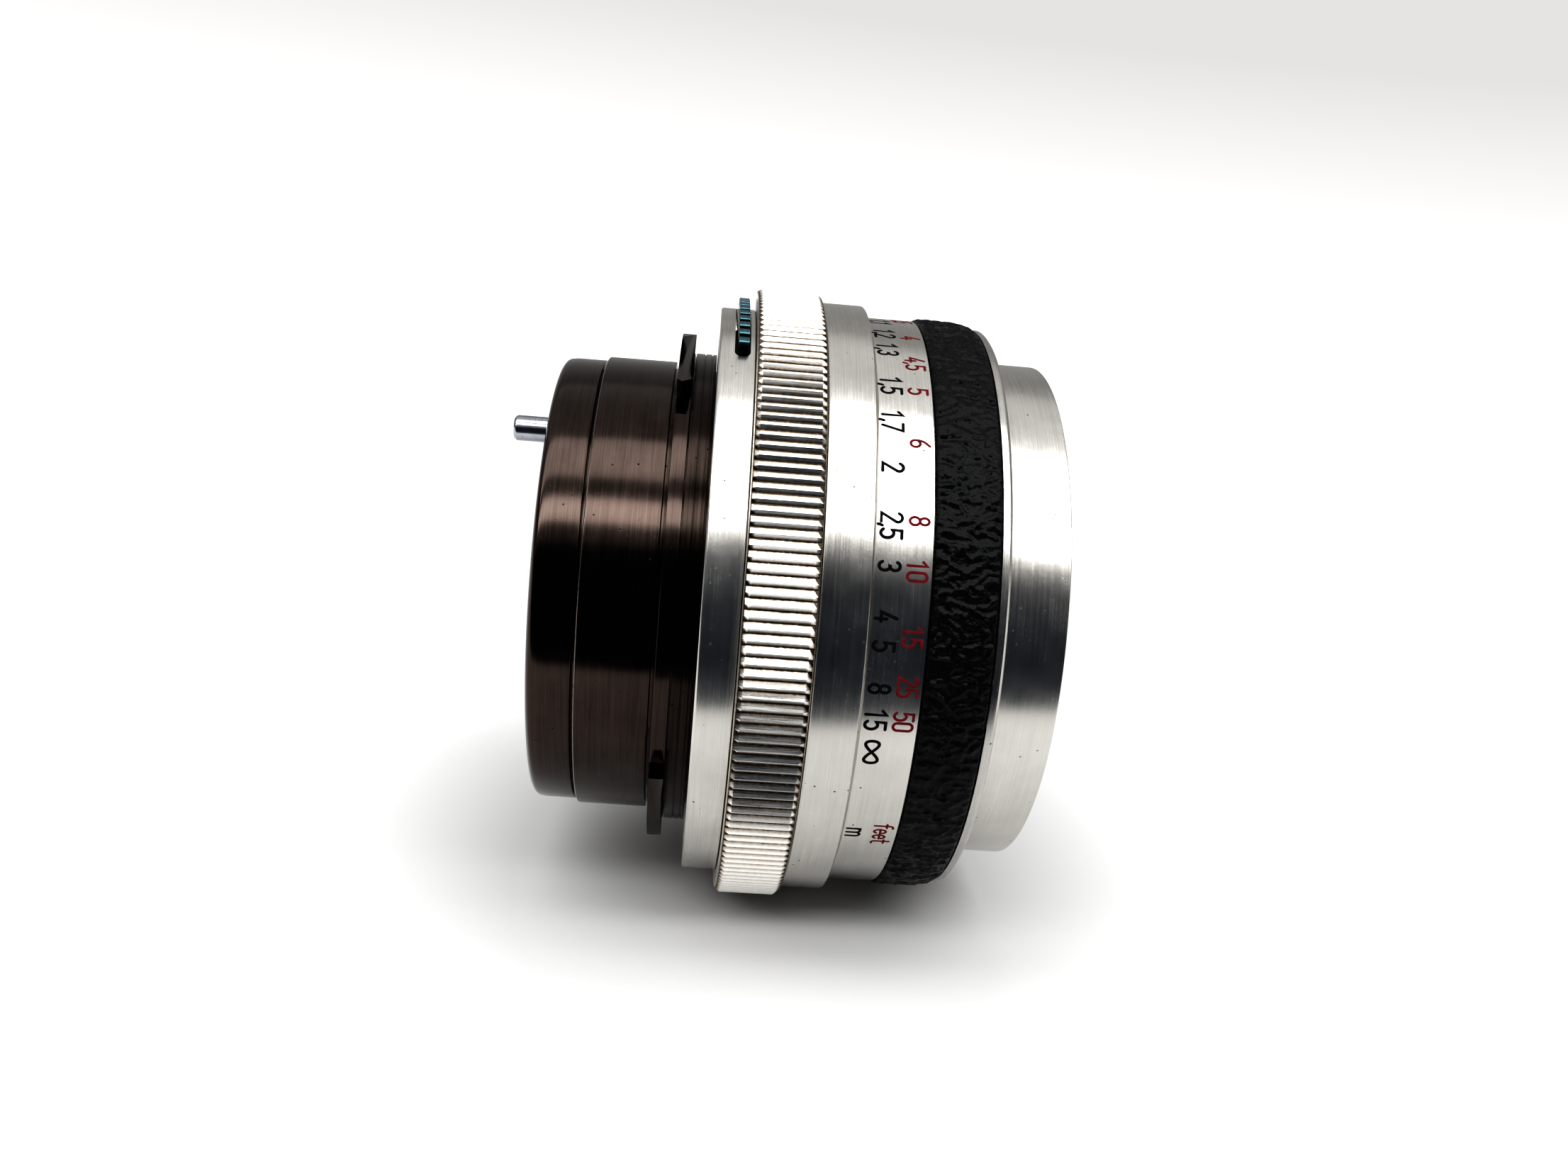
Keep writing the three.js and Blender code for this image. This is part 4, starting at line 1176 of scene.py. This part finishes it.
def surround():
    """The white room round the floor, seen only by the camera: a painted backdrop that glows of its
    own, dimmer towards the top.
    """
    radius, rows, columns = 4.5, 16, 48
    points, faces = [], []
    for i in range(rows + 1):
        rise = math.radians(-90 + 180 * i / rows)
        level, height = radius * math.cos(rise), radius * math.sin(rise)
        for j in range(columns):
            turn = 2 * math.pi * j / columns
            points.append((level * math.cos(turn), level * math.sin(turn), height))
    for i in range(rows):
        for j in range(columns):
            a, b = i * columns + j, i * columns + (j + 1) % columns
            faces.append((a, b, b + columns, a + columns))
    made = solid("surround", points, faces, 60)
    look = glow("surround", 1.0, (1.0, 0.985, 0.98))
    tree = look.node_tree
    x, _, z = add(tree, "ShaderNodeSeparateXYZ", {0: own_coordinates(tree)}).outputs
    # painted light: the glow fades towards the top and a little towards +X
    strength = remap(tree, plus(tree, z, x, 0.05), 0.0, 0.8, 0.86, 0.57)
    feed(tree, tree.nodes["Emission"], {"Strength": strength})
    made.data.materials.append(look)
    hide_from(made, "diffuse", "glossy", "shadow", "transmission", "volume_scatter")


def glow(name, strength, colour):
    look = bpy.data.materials.new(name)
    look.use_nodes = True
    tree = look.node_tree
    tree.nodes.clear()
    emission = add(tree, "ShaderNodeEmission", {"Color": (*colour, 1), "Strength": strength})
    add(tree, "ShaderNodeOutputMaterial", {"Surface": emission.outputs[0]})
    return look


def softbox(name, low, high, strength):
    """A level lamp overhead, spanning these elevations in degrees as seen from the lens."""
    height, half = 0.5, 0.9
    near = -height / math.tan(math.radians(high))
    far = -height / math.tan(math.radians(low))
    corners = [(-half, far), (-half, near), (half, near), (half, far)]
    white = glow(name, strength, (1, 1, 1))
    hide_from(sheet(name, [(x, y, height) for x, y in corners], white), "camera")


def dark_card():
    """A dark sheet in front of the lens, seen only in its polished rings: a painted dark reflection
    that neither lights nor shades anything.
    """
    y, low, high, half = -0.070, FLOOR_Z + 0.0005, 0.038, 0.6
    look = plain_material("dark_card", (0.010, 0.018, 0.034), 0.9)[0]
    corners = [(-half, low), (half, low), (half, high), (-half, high)]
    card = sheet("dark_card", [(x, y, z) for x, z in corners], look)
    hide_from(card, "camera", "diffuse", "shadow", "transmission", "volume_scatter")


def world():
    made = bpy.data.worlds.new("room")
    made.use_nodes = True
    tree = made.node_tree
    feed(tree, tree.nodes["Background"], {"Color": (1.0, 0.99, 0.975, 1), "Strength": 0.30})
    bpy.context.scene.world = made


def camera():
    """The photograph's viewpoint, with the small turns that were found from the picture."""
    distance, aside = 0.14275, 0.00056
    tilt = math.radians(VIEW_TILT)
    towards = Vector((0, -math.cos(tilt), math.sin(tilt)))
    below = Vector((0, -math.sin(tilt), -math.cos(tilt)))
    along = Vector((1, 0, 0))
    right = 0.99529 * along + 0.06497 * towards - 0.07196 * below
    down = 0.07204 * along + 0.00113 * towards + 0.99740 * below
    forward = 0.06488 * along - 0.99789 * towards - 0.00356 * below
    data = bpy.data.cameras.new("camera")
    data.lens = 31.10
    data.sensor_width = 36
    data.clip_start = 0.005
    made = bpy.data.objects.new("camera", data)
    bpy.context.scene.collection.objects.link(made)
    turn = Matrix((right, -down, -forward)).transposed()
    made.matrix_world = Matrix.Translation(towards * distance - along * aside) @ turn.to_4x4()
    bpy.context.scene.camera = made


floor()
surround()
world()
softbox("upper_softbox", 64, 86, 3.8)
softbox("ceiling", 90, 128, 0.66)
softbox("lower_softbox", 41, 53, 7.3)
dark_card()
camera()
bpy.context.scene.view_settings.view_transform = "Standard"
bpy.context.scene.view_settings.look = "High Contrast"
